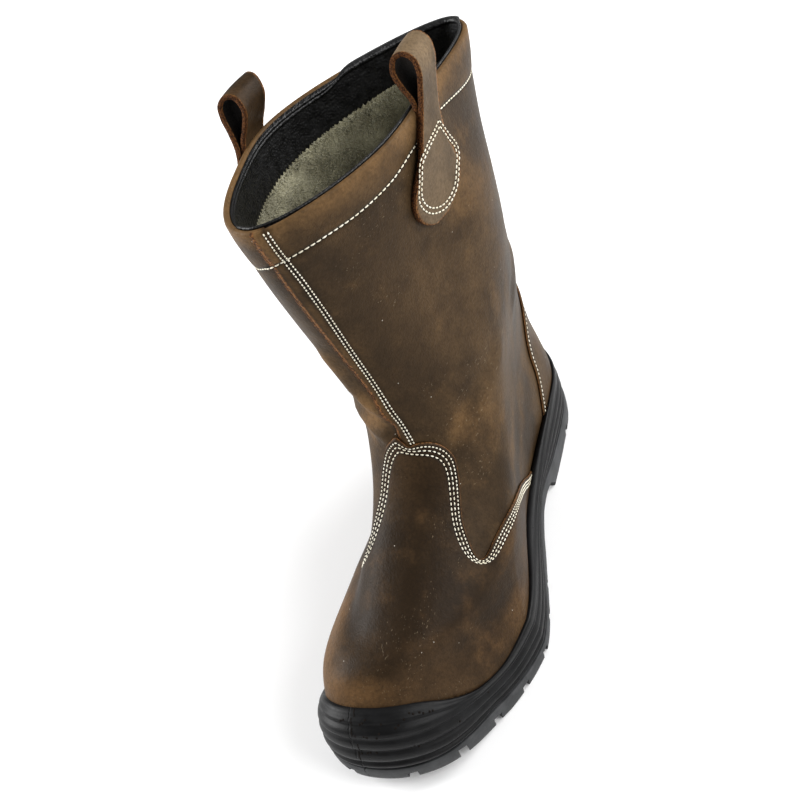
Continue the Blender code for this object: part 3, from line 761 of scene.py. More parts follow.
def overlay(name, path, count, steps, threads, look):
    """A cut piece of leather on the shaft, and the paths of its thread rows."""
    edge = drawn(path, count)
    places = [edge] + [step_inwards(*edge, step) for step in steps[1:]]
    thread_paths = [places[list(steps).index(row)] for row in threads]
    lifts = [GAP + OVERLAY - EDGE_ROUND * (1 - smooth(*EDGE_RISE, step)) for step in steps]
    pressed = [THREAD_PRESS * sum(bell(row, THREAD_GROOVE, step) for row in threads) for step in steps]
    lifts = [lift - press for lift, press in zip(lifts, pressed)]
    cuts = [math.exp(-step / CUT_FADE) for step in steps]
    rubs = [EDGE_RUB * math.exp(-step / RUB_FADE) for step in steps]
    # Painted shade along the grooves in which the threads lie.
    thread_shade = [max(bell(row, THREAD_SHADE_WIDTH, step) for row in threads) for step in steps]
    foot = np.linspace(path[0][1], path[-1][1], count) * (1 - FALL) + places[-1][1] * FALL
    lowest = foot_share(foot)
    for share in np.linspace(0, 1, OVERLAY_ROWS)[1:]:
        last_v, last_around = places[len(steps) - 1]
        places.append((last_v + (lowest - last_v) * share, last_around + (foot - last_around) * share))
        lifts.append(GAP + OVERLAY)
        cuts.append(0.0)
        rubs.append(0.0)
        thread_shade.append(0.0)
    grid = np.array([on_leather(*place, lift) for place, lift in zip(places, lifts)])
    all_v, all_around = (np.array([place[k] for place in places]) for k in range(2))
    rub_and_highlight = np.clip(np.array(rubs)[:, None] + patches_at(VAMP_TAN_AND_HIGHLIGHT, all_v, all_around), 0, 1)
    marks = {"cut": np.array(cuts)[::-1, None], "rub_and_highlight": rub_and_highlight[::-1], "thread_shade": np.array(thread_shade)[::-1, None],
             "deep": patches_at(VAMP_PAINTED_SHADE, all_v, all_around)[::-1]}
    sheet = lay_sheet(name, grid[::-1], [look, raw_edge], marks)
    thicken(sheet, OVERLAY_HIDE)
    return sheet, thread_paths


# %% Vamp and heel counter
VAMP_STEPS = (0, 0.25, 0.6, 1.0, 1.5, 1.9, 2.3, 2.8, 3.3, 3.75, 4.2, 4.7, 5.2, 5.6, 6.0, 6.6, 7.4)
VAMP_THREADS = (1.9, 3.75, 5.6)
VAMP_COUNT = 420
OVERLAY_ROWS = 44
COUNTER_STEPS = (0, 0.25, 0.6, 1.0, 1.5, 2.0, 2.4, 2.9, 3.6, 5.0)
COUNTER_THREADS = (2.4,)
COUNTER_COUNT = 200
# Tan patches: rub, and painted highlights on the inner side of the toe.
VAMP_TAN_AND_HIGHLIGHT = (
    (0.75, 0.060, 0.060, 0.170, -0.020),
    (0.8, 0.070, 0.060, 0.190, -0.110),
    (0.55, 0.070, 0.080, 0.150, 0.160),
    (0.5, 0.060, 0.050, 0.330, 0.160),
    (0.35, 0.050, 0.050, 0.300, 0.030),
    (0.7, 0.070, 0.050, 0.270, -0.090),
    (0.5, 0.060, 0.060, 0.200, 0.450),
    (0.5, 0.060, 0.060, 0.200, -0.450),
)
# Painted shade down the middle of the vamp.
VAMP_PAINTED_SHADE = (
    (0.8, 0.080, 0.050, 0.430, -0.010),
    (0.7, 0.050, 0.060, 0.330, 0.060),
    (0.5, 0.060, 0.030, 0.600, 0.020),
)
VAMP_CUT = (VAMP_PATH, VAMP_COUNT, VAMP_STEPS, VAMP_THREADS)
COUNTER_CUT = (COUNTER_PATH, COUNTER_COUNT, COUNTER_STEPS, COUNTER_THREADS)
vamp, vamp_rows = overlay("vamp_hide", *VAMP_CUT, leathers["vamp_leather"])
fit(vamp, "vamp", "vamp")
counter, counter_rows = overlay("counter_hide", *COUNTER_CUT, leathers["shaft_leather"])
fit(counter, "heel_counter", "heel_counter")

# %% [markdown]
# The pull loops are straps folded over the collar: a wide tab is sewn to the shaft, the strap runs up,
# turns over in a drop-shaped eye and comes back down behind itself. The strap's middle line is a short
# list of heights and distances, and a sheet is laid along it and thickened to both sides.

# %% Pull loops
LOOP_COLUMNS = ("height", "out", "half", "lean")
LOOP = (
    (-54, 1.4, 5.0, 27.4), (-52, 1.4, 9.5, 26.6), (-47.5, 1.5, 16.3, 24.4), (-39.5, 1.6, 21.0, 21.4),
    (-31, 2.4, 19.2, 19.6), (-25, 3.3, 16.0, 18.0), (-18.5, 3.9, 13.0, 14.8), (-9, 4.0, 11.6, 8.2),
    (-1, 4.6, 11.0, 1.8), (8, 6.6, 10.8, -3.0), (16, 8.6, 10.8, -6.2), (22, 8.0, 10.8, -8.2),
    (25.5, 4.0, 10.8, -9.4), (25, -1.0, 10.8, -9.2), (19, -4.4, 10.8, -7.0), (10, -2.2, 10.8, -3.6),
    (3, 1.0, 10.8, -1.0), (-3, 1.6, 10.8, 2.4), (-16, 1.6, 10.8, 11.5),
)
STRAP = 2.5
STRAP_STEPS = 110
STRAP_STATIONS = 13
STRAP_CUT = 0.9
STRAP_CUT_FADE = 0.5
STRAP_EDGE_RUB = 0.4
TURN_RUB = 0.5
TURN_RUBBED = (22.0, 9.0)
# The inner loop takes the darker vamp leather and less rub than the outer one: painted shade on the inner
# loop.
LOOP_PLACES = {"loop_outer": (0.262, "pull_loop_lateral", "loop_leather", 0.35),
               "loop_inner": (0.752, "pull_loop_medial", "vamp_leather", -0.1)}

loop_table = dict(zip(LOOP_COLUMNS, np.array(LOOP, float).T))
loop_walked = walked_length(np.stack([loop_table["height"], loop_table["out"]], -1))


def build_loop(name, middle, node, look, wear_and_shade):
    """A strap laid along the folded line of the loop over the collar at one place around."""
    at = np.linspace(0, loop_walked[-1], STRAP_STEPS)
    height, out, half, lean = (curve(loop_walked, loop_table[column], at) for column in LOOP_COLUMNS)
    forward = -1 if middle < 0.5 else 1
    beside = np.linspace(-1, 1, STRAP_STATIONS)
    grid, edges = [], []
    for k in range(STRAP_STEPS):
        place = middle + (beside * half[k] + forward * lean[k]) / RIM_LENGTH
        if height[k] < 0:
            row = off_rings(np.full_like(place, 1 + height[k] / SHAFT_LENGTH), place, out[k])
        else:
            row = over_rim(place, np.full_like(place, out[k]), np.full_like(place, height[k]))
        grid.append(row)
        edges.append(np.exp((np.abs(beside) - 1) * half[k] / STRAP_CUT_FADE))
    edges = np.array(edges)
    edges[0] = 1.0
    rub_and_highlight = wear_and_shade + TURN_RUB * bell(*TURN_RUBBED, height)[:, None] + STRAP_EDGE_RUB * edges
    marks = {"cut": edges * STRAP_CUT, "rub_and_highlight": np.clip(rub_and_highlight, 0, 1), "deep": 0.0}
    grid = np.array(grid)
    strap = lay_sheet(name, grid, [leathers[look], leathers["loop_flesh_painted_shade"], raw_edge], marks)
    thicken(strap, STRAP, 0.0)
    fit(strap, "pull_loops", node)
    return [(grid[:, end], grid[:, end] - grid[:, end + towards]) for end, towards in ((0, 1), (-1, -1))]


loop_sides = []
for loop_name, loop_facts in LOOP_PLACES.items():
    loop_sides += build_loop(loop_name, *loop_facts)

# %% [markdown]
# Inside the collar sits a black pebbled facing with a pinked lower edge, and below it the fleece lining.
# Their good sides look inwards, so their columns run the other way round. The pinked edge is a zigzag of
# the lowest row. The fleece is gently lumpy, which a slow noise on its corners gives.

# %% Facing and fleece
PINK_TEETH = 150
PINK_DEPTH = 1.1
PINK_REACH = 0.004
FACING_DEPTH = 28.0
FACING_TOP = 0.996
FACING_ROWS = 18
FACING_HIDE = 0.7
FACING_OUT = -2.7
FACING_BEAD = ((-3.2, -1.4), (-3.5, -0.5), (-3.3, 0.3), (-2.7, 0.6), (-2.1, 0.3), (-1.9, -0.7))
BEAD_ROLL = ((0.0, 0.0), (0.0, 0.2), (0.5, 0.6), (2.0, 0.7), (3.4, 0.5), (3.9, -0.6))
BEAD_DROP = 4.4
BACK_ROLL = (-0.36, -0.40, 0.49, 0.46)
FLEECE_ROWS = 110
FLEECE_COLUMNS = 200
FLEECE_LOW = 0.02
FLEECE_OUT = -3.1
FLEECE_HIDE = 0.6
FLEECE_LAP = 0.03
FLEECE_LUMP = 1.5
LUMP_MIDDLE = 0.4
LUMP_SIZE = 17.0
DIMPLE_SIZE = 7.0
DIMPLE_SHARE = 0.5
TUCK = (0.012, -0.020)
TUCK_GAP = 0.9
PEBBLE_SIZE = 1.2
WRINKLE_SIZE = 5.0
PEBBLE_BUMP = 0.45
BLACK_TONES = ((0.0022, 0.0022, 0.0024), (0.007, 0.007, 0.0073))
NAP_SIZE = 2.2
MOTTLE_SIZE = 18.0
WOOL_SPECKS = (11.0, 0.05, 0.22)
SPECK_TONE = (0.03, 0.028, 0.022)
FLEECE_SHADED_TONES = ((0.19, 0.174, 0.106), (0.345, 0.322, 0.208), (0.095, 0.088, 0.052))
TIP_LIT_TONES = ((0.38, 0.357, 0.238), (0.58, 0.552, 0.396), (0.23, 0.213, 0.133))

black_finish = Finish("black_facing")
pebbles = black_finish.cells(PEBBLE_SIZE, "Distance", "SMOOTH_F1")
wrinkle = black_finish.clouds(WRINKLE_SIZE, 2.0)
black = black_finish.mix(wrinkle.between(0.3, 0.7), *BLACK_TONES)
black_finish.give(Base_Color=black, Roughness=wrinkle * 0.25 + 0.30, Specular_IOR_Level=0.3)
black_finish.raise_by(wrinkle * 0.5 - pebbles, PEBBLE_BUMP)


def fleecy(name, low, high, shade):
    """Fleece in two tones with painted shade in the nap's hollows, a soft nap and a few dark specks."""
    finish = Finish(name)
    nap = finish.clouds(NAP_SIZE, 4.0, 0.7)
    mottle = finish.clouds(MOTTLE_SIZE, 3.0, 0.6)
    wool = finish.mix(mottle.between(0.35, 0.65), low, high)
    # Painted shade in the nap's hollows.
    wool = finish.mix(nap.between(0.5, 0.25) * 0.45, wool, shade)
    wool = finish.mix(finish.specks(*WOOL_SPECKS), wool, SPECK_TONE)
    finish.give(Base_Color=wool, Roughness=nap * 0.1 + 0.88, Sheen_Weight=0.2, Sheen_Roughness=0.6)
    finish.give(Specular_IOR_Level=0.1)
    finish.raise_by(nap * 1.2 + mottle * 1.5, 1.0)
    return finish.material


# The wool under the pile is a darker, shaded copy and the fibre tips a lighter, lit copy of one fleece:
# painted shade and light.
fleece_shaded_look = fleecy("fleece", *FLEECE_SHADED_TONES)
tips_lit_look = fleecy("fleece_tips_lit", *TIP_LIT_TONES)


def lump(point):
    """A slow noise with a finer one on it, at one point."""
    place = Vector(point)
    return noise.noise(place / LUMP_SIZE) + DIMPLE_SHARE * noise.noise(place / DIMPLE_SIZE)


def back_roll(around):
    """1 at the back of the collar, where the facing is rolled over the rim, and 0 elsewhere."""
    front = near_front(around)
    return np.maximum(smooth(*BACK_ROLL[:2], front), smooth(*BACK_ROLL[3:1:-1], front))


teeth = np.linspace(1, 0, 2 * PINK_TEETH + 1)
deep = 1 - FACING_DEPTH / SHAFT_LENGTH
rows = np.linspace(deep, FACING_TOP, FACING_ROWS)
v, around = np.meshgrid(rows, teeth, indexing="ij")
pink = np.where(np.arange(len(teeth)) % 2 == 0, -PINK_DEPTH, PINK_DEPTH) / SHAFT_LENGTH
v = v + pink * bell(deep, PINK_REACH, v)
smooth_face = off_rings(v, around, FACING_OUT)
rolled = back_roll(teeth)
bead = [over_rim(teeth, out + over * rolled, rise + up * rolled - BEAD_DROP * far_side(teeth))
        for (out, rise), (over, up) in zip(FACING_BEAD, BEAD_ROLL)]
facing_points = np.concatenate([smooth_face, np.array(bead)])
facing = lay_sheet("facing_band", facing_points, [black_finish.material], {}, True)
thicken(facing, FACING_HIDE)
fit(facing, "collar_facing", "collar_facing")

rows = np.linspace(FLEECE_LOW, deep + FLEECE_LAP, FLEECE_ROWS)
v, around = np.meshgrid(rows, np.linspace(1, 0, FLEECE_COLUMNS + 1), indexing="ij")
plain = look_up(face_points, v, around)
lumps = np.array([lump(point) for point in plain.reshape(-1, 3)]).reshape(v.shape)
tuck = smooth(deep + TUCK[0], deep + TUCK[1], v)
depth = FLEECE_OUT * tuck + (FACING_OUT + TUCK_GAP) * (1 - tuck)
depth = depth - FLEECE_LUMP * (lumps + LUMP_MIDDLE) * tuck
depth = depth + np.minimum(relief(v, around), 0)
fleece = lay_sheet("fleece_lining", off_rings(v, around, depth), [fleece_shaded_look], {}, True)
thicken(fleece, FLEECE_HIDE)
fit(fleece, "insole")

# %% [markdown]
# The footbed lies on the floor of the cup. Two curves, the inner and the outer edge, are joined by rows
# across the foot, and the middle of each row is let down a little, as a worn footbed is.

# %% Footbed
FOOTBED_INSET = 3.6
FOOTBED = 4.0
FOOTBED_STATIONS = 90
FOOTBED_ROWS = 17
FOOTBED_DISH = 1.4
FOOTBED_HALVES = np.array((140.0, 38.0))
HALF_ROUND = 0.4999
FELT_SIZE = 1.5
FELT_BUMP = 0.5
FELT_TONES = ((0.20, 0.19, 0.165), (0.36, 0.345, 0.30))

felt_finish = Finish("felt")
felt = felt_finish.clouds(FELT_SIZE, 4.0, 0.7)
felt_tone = felt_finish.mix(felt.between(0.3, 0.7), *FELT_TONES)
felt_finish.give(Base_Color=felt_tone, Roughness=0.95)
felt_finish.raise_by(felt, FELT_BUMP)

share = 0.5 * (1 - np.cos(np.linspace(0, np.pi, FOOTBED_STATIONS)))
outer_edge = look_up(face_points, np.zeros_like(share), 0.5 - share * HALF_ROUND)
inner_edge = look_up(face_points, np.zeros_like(share), 0.5 + share * HALF_ROUND)
across = np.linspace(0, 1, FOOTBED_ROWS)[:, None, None]
bed = inner_edge * across + outer_edge * (1 - across)
middle = bed.mean(axis=(0, 1))
bed[..., :2] += (middle - bed)[..., :2] * (FOOTBED_INSET / FOOTBED_HALVES)
bed[..., 2] += GAP + FOOTBED - FOOTBED_DISH * np.sin(np.pi * across[..., 0])
footbed = lay_sheet("footbed", bed, [felt_finish.material], {}, True)
thicken(footbed, FOOTBED - FOOTBED_DISH)
fit(footbed, "insole", "insole")

# %% [markdown]
# The sole is a black cup of foamed rubber with a ribbed toe bumper, on a grey tread. The cup's wall is a
# stack of rings round the upper's plan: a short profile gives each ring's height and how far it stands
# out, at the sides and at the toe, and grooves in the profile make the ribs. The lip closes on the
# leather.

# %% Sole tables
CUP_PROFILE = (
    (0.00, 3.8, 9.6), (0.05, 4.9, 11.2), (0.12, 5.3, 11.8), (0.18, 4.6, 10.4), (0.24, 5.3, 11.7),
    (0.37, 5.4, 11.4), (0.44, 4.5, 9.9), (0.50, 5.3, 10.8), (0.62, 5.1, 10.3), (0.69, 4.3, 8.9),
    (0.75, 4.8, 9.2), (0.80, 4.6, 8.6),
)
WOBBLE = 0.022
WOBBLE_WAVES = 9
WOBBLE_SLANT = 4
LIP_TURNS = 16
LIP_DENTS = ((0.30, 0.9), (0.66, 0.5))
DENT_WIDTH = 0.11
LIP_WIDTH = 2.8
LIP_FULL = 0.5
LIP_RISE = 1.6
WALL_RING = 0.12
RECESS_LEVELS = np.linspace(0, 0.3, 61)
SHARP_EDGE = math.radians(40)
TOE_BLEND = (0.86, 0.985)
FLARE_FADE = 0.7
SOLE_COUNT = 480

sole_around = np.arange(SOLE_COUNT) / SOLE_COUNT
plan = look_up(face_points, np.full(SOLE_COUNT, WALL_RING), sole_around)
plan_ahead = np.roll(plan, -1, axis=0) - np.roll(plan, 1, axis=0)
plan_out = np.stack([plan_ahead[:, 1], -plan_ahead[:, 0]], -1)
plan_out /= np.linalg.norm(plan_out, axis=1, keepdims=True)
toe_share = smooth(*TOE_BLEND, (plan[:, 0] - plan[:, 0].min()) / np.ptp(plan[:, 0]))


def wall_ring(side_out, toe_out, height, flare):
    """A ring round the plan that stands out of it by one distance at the sides and another at the toe."""
    reach = side_out + flare * sole_at("flare", plan[:, 0]) + (toe_out - side_out) * toe_share
    return np.column_stack([plan[:, :2] + plan_out * reach[:, None], height])


def recess_ring(height, out):
    """A ring at the given heights that follows the upper's face at a distance out of it."""
    levels, places = np.meshgrid(RECESS_LEVELS, sole_around, indexing="ij")
    near = off_rings(levels, places, out)
    ring = [[np.interp(height[j], near[:, j, 2], near[:, j, k]) for k in range(2)]
            for j in range(SOLE_COUNT)]
    return np.column_stack([np.array(ring), height])


def spine(ring):
    """The middle line of a ring: each point half way to its partner on the other side."""
    partner = ring[-np.arange(SOLE_COUNT) % SOLE_COUNT]
    return (ring + partner) / 2


def face_outwards():
    """Turns every face of the active piece outwards."""
    bpy.ops.object.mode_set(mode="EDIT")
    bpy.ops.mesh.select_all(action="SELECT")
    bpy.ops.mesh.normals_make_consistent(inside=False)
    bpy.ops.object.mode_set(mode="OBJECT")


def stack_rings(name, rings, look):
    """A closed solid of stacked rings: a rolled grid whose two ends close on their middle lines."""
    rings = [spine(rings[0]), *rings, spine(rings[-1])]
    grid = np.array([np.concatenate([ring, ring[:1]]) for ring in rings])
    made = lay_sheet(name, grid, [look], {}, True)
    face_outwards()
    bpy.ops.object.shade_smooth_by_angle(angle=SHARP_EDGE)
    return made


print("sole plan length", round(float(walked_length(plan)[-1])), "mm")

# %% Rubber
MOULD_JOINT = -18.6
JOINT_FROM = 112.0
JOINT_FULL = 117.0
JOINT_WIDE = 0.55
JOINT_NARROW = 0.15
JOINT_DRIFT = 1.8
JOINT_WAVES = 6.0
JOINT_BREAKS = 2.4
HAZE_SIZE = 14.0
SKIN_SIZE = 0.8
PITS = (4.2, 0.13, 0.20)
RUBBER_DUST = (9.0, 0.03, 0.35)
RUBBER_DUST_TONE = (0.30, 0.30, 0.29)
RUBBER_BUMP = 0.25
CUP_TONES = ((0.0024, 0.0024, 0.0026), (0.0062, 0.0062, 0.0066))
TREAD_TONES = ((0.024, 0.025, 0.026), (0.045, 0.046, 0.048))


def moulded_rubber(name, low, high, rough, shine):
    """Moulded rubber: faint clouds, fine pits with painted shade, pale dust, a dry skin and the mould's
    joint at the toe.
    """
    finish = Finish(name)
    haze = finish.clouds(HAZE_SIZE, 4.0, 0.6)
    skin = finish.clouds(SKIN_SIZE, 3.0, 0.6)
    pits = finish.specks(*PITS)
    ahead, side = (finish.add("ShaderNodeSeparateXYZ", {}, {0: finish.place}, axis) for axis in "XY")
    drift = (finish.clouds(JOINT_WAVES, 2.0) - 0.5) * (2 * JOINT_DRIFT * MM)
    joint = (side + drift - MOULD_JOINT * MM).size().between(JOINT_WIDE * MM, JOINT_NARROW * MM)
    joint = joint * ahead.between(JOINT_FROM * MM, JOINT_FULL * MM)
    joint = joint * finish.clouds(JOINT_BREAKS, 1.0).between(0.40, 0.50)
    tone = finish.mix(haze.between(0.35, 0.65), low, high)
    tone = finish.mix(finish.specks(*RUBBER_DUST) * 0.8, tone, RUBBER_DUST_TONE)
    # Painted shade in the pits.
    tone = finish.mix(pits, tone, dimmed(low, 0.25))
    tone = finish.mix(joint, tone, dimmed(low, 0.2))
    roughness = haze * 0.22 + skin * 0.12 + (rough - 0.17)
    finish.give(Base_Color=tone, Roughness=roughness, Specular_IOR_Level=shine)
    finish.raise_by(skin * 0.4 + haze * 0.8 - pits * 2.2 - joint * 2.5, RUBBER_BUMP)
    return finish.material


cup_look = moulded_rubber("cup_rubber", *CUP_TONES, rough=0.44, shine=0.14)
tread_look = moulded_rubber("tread_rubber", *TREAD_TONES, rough=0.62, shine=0.3)
print("rubbers:", cup_look.name, tread_look.name)

# %% Cup
CUP_STEPS = 84
CUP_DEPTHS = ((0.25, 1.6), (1.2, 0.8), (3.0, 0.8), (6.0, 0.8), (12.0, 0.8), (40.0, 0.8))
CUP_UNDER = 1.0

profile_share, profile_side, profile_toe = np.array(CUP_PROFILE).T
seat, lip = sole_at("seat", plan[:, 0]), sole_at("lip", plan[:, 0])
cup_rings = []
for share in np.linspace(0, profile_share[-1], CUP_STEPS):
    side_out, toe_out = (float(curve(profile_share, line, share)) for line in (profile_side, profile_toe))
    turns = 2 * np.pi * WOBBLE_WAVES * sole_around + WOBBLE_SLANT * share
    wave = WOBBLE * math.sin(math.pi * share) * np.sin(turns)
    height = seat + (lip - seat) * (share + wave * toe_share)
    cup_rings.append(wall_ring(side_out, toe_out, height, 1 - FLARE_FADE * share))
rim = recess_ring(lip, GAP)
rim[:, :2] += plan_out * LIP_WIDTH
last = cup_rings[-1]
for turn in np.linspace(0, 1, LIP_TURNS + 1)[1:]:
    ring = last + (rim - last) * turn
    dent = toe_share * sum(depth * bell(middle, DENT_WIDTH, turn) for middle, depth in LIP_DENTS)
    ring[:, :2] += plan_out * (LIP_FULL * math.sin(math.pi * turn) - dent)[:, None]
    rise = 1 - (1 - turn) ** LIP_RISE
    ring[:, 2] = last[:, 2] + (lip - last[:, 2]) * rise - dent / 2
    cup_rings.append(ring)
cup_wall = np.array(cup_rings)
cup_floor = look_up(face_points, np.zeros(SOLE_COUNT), sole_around)[:, 2] - CUP_UNDER
for down, clear in CUP_DEPTHS:
    cup_rings.append(recess_ring(np.maximum(lip - down, cup_floor), clear))
cup = stack_rings("cup_sole", cup_rings, cup_look)
fit(cup, "midsole", "midsole")

# %% [markdown]
# The tread starts as the same kind of stack. The waist's arch and the notches between the lugs are sawn
# out of it with Boolean cutters, one after the other, as a mould maker mills them.

# %% Tread
EDGE_PROFILE = (
    (0.0, 5.2, 11.0), (0.06, 5.7, 11.5), (0.25, 5.9, 11.7), (0.60, 5.7, 11.4), (0.86, 5.3, 10.9),
    (0.95, 4.8, 10.2), (1.0, 4.0, 9.2),
)
ARCH = ((86, -6), (88, 4), (94, 11), (104, 13.5), (118, 13.5), (134, 8), (148, 2), (158, -6))
LUG_PLACES = (0.020, 0.055, 0.088, 0.121, 0.154, 0.187, 0.220, 0.405, 0.438, 0.474)
LUG_WIDTH = 5.6
LUG_REACH = 24.0
LUG_OUT = 8.0
LUG_DEPTH = 5.8
LUG_SKEW = 0.20
LUG_RING = -3
LUG_SHARP = math.radians(35)
SPAN = 110.0
BELOW = -10.0


def saw(made, corners):
    """Cuts a block out of a piece; half of its corners are one end, the other half the other end."""
    count = len(corners) // 2
    bpy.ops.object.select_all(action="DESELECT")
    bpy.ops.mesh.primitive_cylinder_add(vertices=count, end_fill_type="NGON")
    block = bpy.context.object
    places = [None] * len(corners)
    for k in range(count):
        places[2 * k] = corners[k]
        places[2 * k + 1] = corners[count + k]
    for corner, place in zip(block.data.vertices, places):
        corner.co = [float(c) for c in (np.array(place) - FOOT_MIDDLE) * MM]
    face_outwards()
    block.matrix_world.identity()
    cut = made.modifiers.new("saw", "BOOLEAN")
    cut.operation = "DIFFERENCE"
    cut.solver = "EXACT"
    cut.object = block
    bpy.context.view_layer.objects.active = made
    bpy.ops.object.modifier_apply(modifier=cut.name)
    bpy.data.objects.remove(block)


tread_high, tread_low = seat - GAP, sole_at("tread", plan[:, 0])
tread_rings = [wall_ring(side, toe, tread_high + (tread_low - tread_high) * share, 1.0)
               for share, side, toe in EDGE_PROFILE]
tread = stack_rings("tread_sole", tread_rings[::-1], tread_look)
saw(tread, [(x, -SPAN, z) for x, z in ARCH] + [(x, SPAN, z) for x, z in ARCH])
for place in LUG_PLACES + tuple(1 - share for share in LUG_PLACES):
    at = int(round(place * SOLE_COUNT)) % SOLE_COUNT
    edge = tread_rings[LUG_RING][at, :2]
    facing_out = plan_out[at] + np.array([LUG_SKEW, 0.0])
    facing_out /= np.linalg.norm(facing_out)
    beside = np.array([-facing_out[1], facing_out[0]]) * LUG_WIDTH / 2
    far, near = edge + facing_out * LUG_OUT, edge - facing_out * LUG_REACH
    ends = [far - beside, far + beside, near + beside, near - beside]
    low_end = [(*end, BELOW) for end in ends]
    high_end = [(*end, float(sole_at("tread", end[0])) + LUG_DEPTH) for end in ends]
    saw(tread, low_end + high_end)
bpy.ops.object.select_all(action="DESELECT")
tread.select_set(True)
bpy.context.view_layer.objects.active = tread
bpy.ops.object.shade_smooth_by_angle(angle=LUG_SHARP)
fit(tread, "outsole", "outsole")

# %% [markdown]
# Every row of thread is one stitch, modelled once and copied along its path: a little ball drawn out to a
# grain of rice that dips into its needle holes. All the stitches of a seam are one piece, with a dark grain
# at each needle hole as its painted shade.

# %% Threads
VAMP_PITCHES = (2.0, 2.6, 2.6)
COUNTER_PITCH = 2.6
STITCH_SHARE = 0.75
STITCH = (1.0, 0.42, 0.40)
STITCH_DIP = 0.20
STITCH_ENDS = np.array((-0.4, 0.4))
HOLE = (0.40, 0.42, 0.18)
TWIST_SIZE = 0.5
TWIST_BUMP = 0.12
TWIST_SHADE_TONE = (0.42, 0.35, 0.22)
SOIL_SIZE = 9.0
CREAM_TONES = ((0.74, 0.68, 0.52), (0.90, 0.86, 0.73))
HOLE_SHADE_SIZE = 0.8
HOLE_SHADE_TONES = ((0.003, 0.002, 0.0015), (0.009, 0.006, 0.004))

thread_finish = Finish("cream_thread")
twist = thread_finish.clouds(TWIST_SIZE, 2.0)
soil = thread_finish.clouds(SOIL_SIZE, 3.0)
cream = thread_finish.mix(soil.between(0.35, 0.7), *CREAM_TONES)
# Painted shade in the grooves of the twist, where its bump is low.
cream = thread_finish.mix(twist.between(0.55, 0.3) * 0.4, cream, TWIST_SHADE_TONE)
thread_finish.give(Base_Color=cream, Roughness=twist * 0.2 + 0.55)
thread_finish.raise_by(twist, TWIST_BUMP)

# Painted shade: a near-black grain stands for the shade inside each needle hole.
hole_finish = Finish("needle_hole_shade")
hole_shade = hole_finish.clouds(HOLE_SHADE_SIZE, 2.0)
hole_shade_tone = hole_finish.mix(hole_shade, *HOLE_SHADE_TONES)
hole_finish.give(Base_Color=hole_shade_tone, Roughness=hole_shade * 0.1 + 0.8, Specular_IOR_Level=0.1)


def grain(size, segments, rings):
    """Corners and faces of a ball drawn out to these half lengths in millimetres."""
    bpy.ops.object.select_all(action="DESELECT")
    bpy.ops.mesh.primitive_uv_sphere_add(segments=segments, ring_count=rings, radius=1)
    bpy.ops.object.mode_set(mode="EDIT")
    bpy.ops.mesh.select_all(action="SELECT")
    bpy.ops.transform.rotate(value=math.pi / 2, orient_axis="Y", center_override=(0, 0, 0))
    bpy.ops.transform.resize(value=size)
    bpy.ops.object.mode_set(mode="OBJECT")
    ball = bpy.context.object
    corners = np.array([corner.co[:] for corner in ball.data.vertices])
    faces = [tuple(face.vertices) for face in ball.data.polygons]
    bpy.data.objects.remove(ball)
    return corners, faces


stitch_corners, stitch_faces = grain(STITCH, segments=6, rings=5)
stitch_corners[:, 2] -= STITCH_DIP * (stitch_corners[:, 0] / STITCH[0]) ** 2
hole_corners, hole_faces = grain(HOLE, segments=6, rings=3)


def new_piece(name, corners, faces, looks, slot, kinds=0):
    """A piece of corners in millimetres and faces, with each face's material by its number."""
    mesh = bpy.data.meshes.new(name)
    mesh.from_pydata(((corners - FOOT_MIDDLE) * MM).tolist(), [], faces)
    for look in looks:
        mesh.materials.append(look)
    mesh.polygons.foreach_set("material_index", np.broadcast_to(kinds, len(faces)).astype(np.int32))
    mesh.polygons.foreach_set("use_smooth", [True] * len(faces))
    piece = bpy.data.objects.new(name, mesh)
    bpy.context.scene.collection.objects.link(piece)
    fit(piece, slot)
    return piece


def along_line(line, walked, at):
    """The line's values at these lengths along it."""
    return np.stack([np.interp(at, walked, line[:, axis]) for axis in range(3)], -1)


def sew(name, runs, slot, pitches, share=STITCH_SHARE):
    """One piece of thread: stitches along runs of points with their directions out of the leather."""
    corners, faces, kinds, first = [], [], [], 0
    for (points, normals), pitch in zip(runs, pitches):
        walked = walked_length(points)
        count = max(int(walked[-1] / pitch), 2)
        along = np.linspace(0, walked[-1], count)
        stitch = stitch_corners * (pitch * share / (2 * STITCH[0]), 1, 1)
        for k, middle in enumerate(along[:-1] + pitch / 2):
            parts = ((middle, stitch, stitch_faces, 0), (along[k], hole_corners, hole_faces, 1))
            for at, shape, shape_faces, kind in parts:
                before, after = along_line(points, walked, at + STITCH_ENDS)
                ahead = (after - before) / np.linalg.norm(after - before)
                across = np.cross(along_line(normals, walked, at), ahead)
                across /= np.linalg.norm(across)
                turn = np.stack([ahead, across, np.cross(ahead, across)])
                corners.append(along_line(points, walked, at) + shape @ turn)
                faces += [tuple(first + corner for corner in face) for face in shape_faces]
                kinds += [kind] * len(shape_faces)
                first += len(shape)
    looks = (thread_finish.material, hole_finish.material)
    new_piece(name, np.concatenate(corners), faces, looks, slot, kinds)


def run_on(v, around, lift):
    """A run of thread that lies on the leather at a height over it."""
    return on_leather(v, around, lift), look_up(face_normals, v, around)


THREAD_LIFT = 0.16
on_overlay = GAP + OVERLAY - THREAD_PRESS + THREAD_LIFT


def overlay_runs(rows):
    """The thread rows of an overlay, down to where the leather goes into the sole."""
    shown_rows = [(row_v > foot_share(row_around), row_v, row_around) for row_v, row_around in rows]
    return [run_on(row_v[shown], row_around[shown], on_overlay) for shown, row_v, row_around in shown_rows]


sew("vamp_threads", overlay_runs(vamp_rows), "vamp", VAMP_PITCHES)
sew("counter_threads", overlay_runs(counter_rows), "heel_counter", [COUNTER_PITCH])

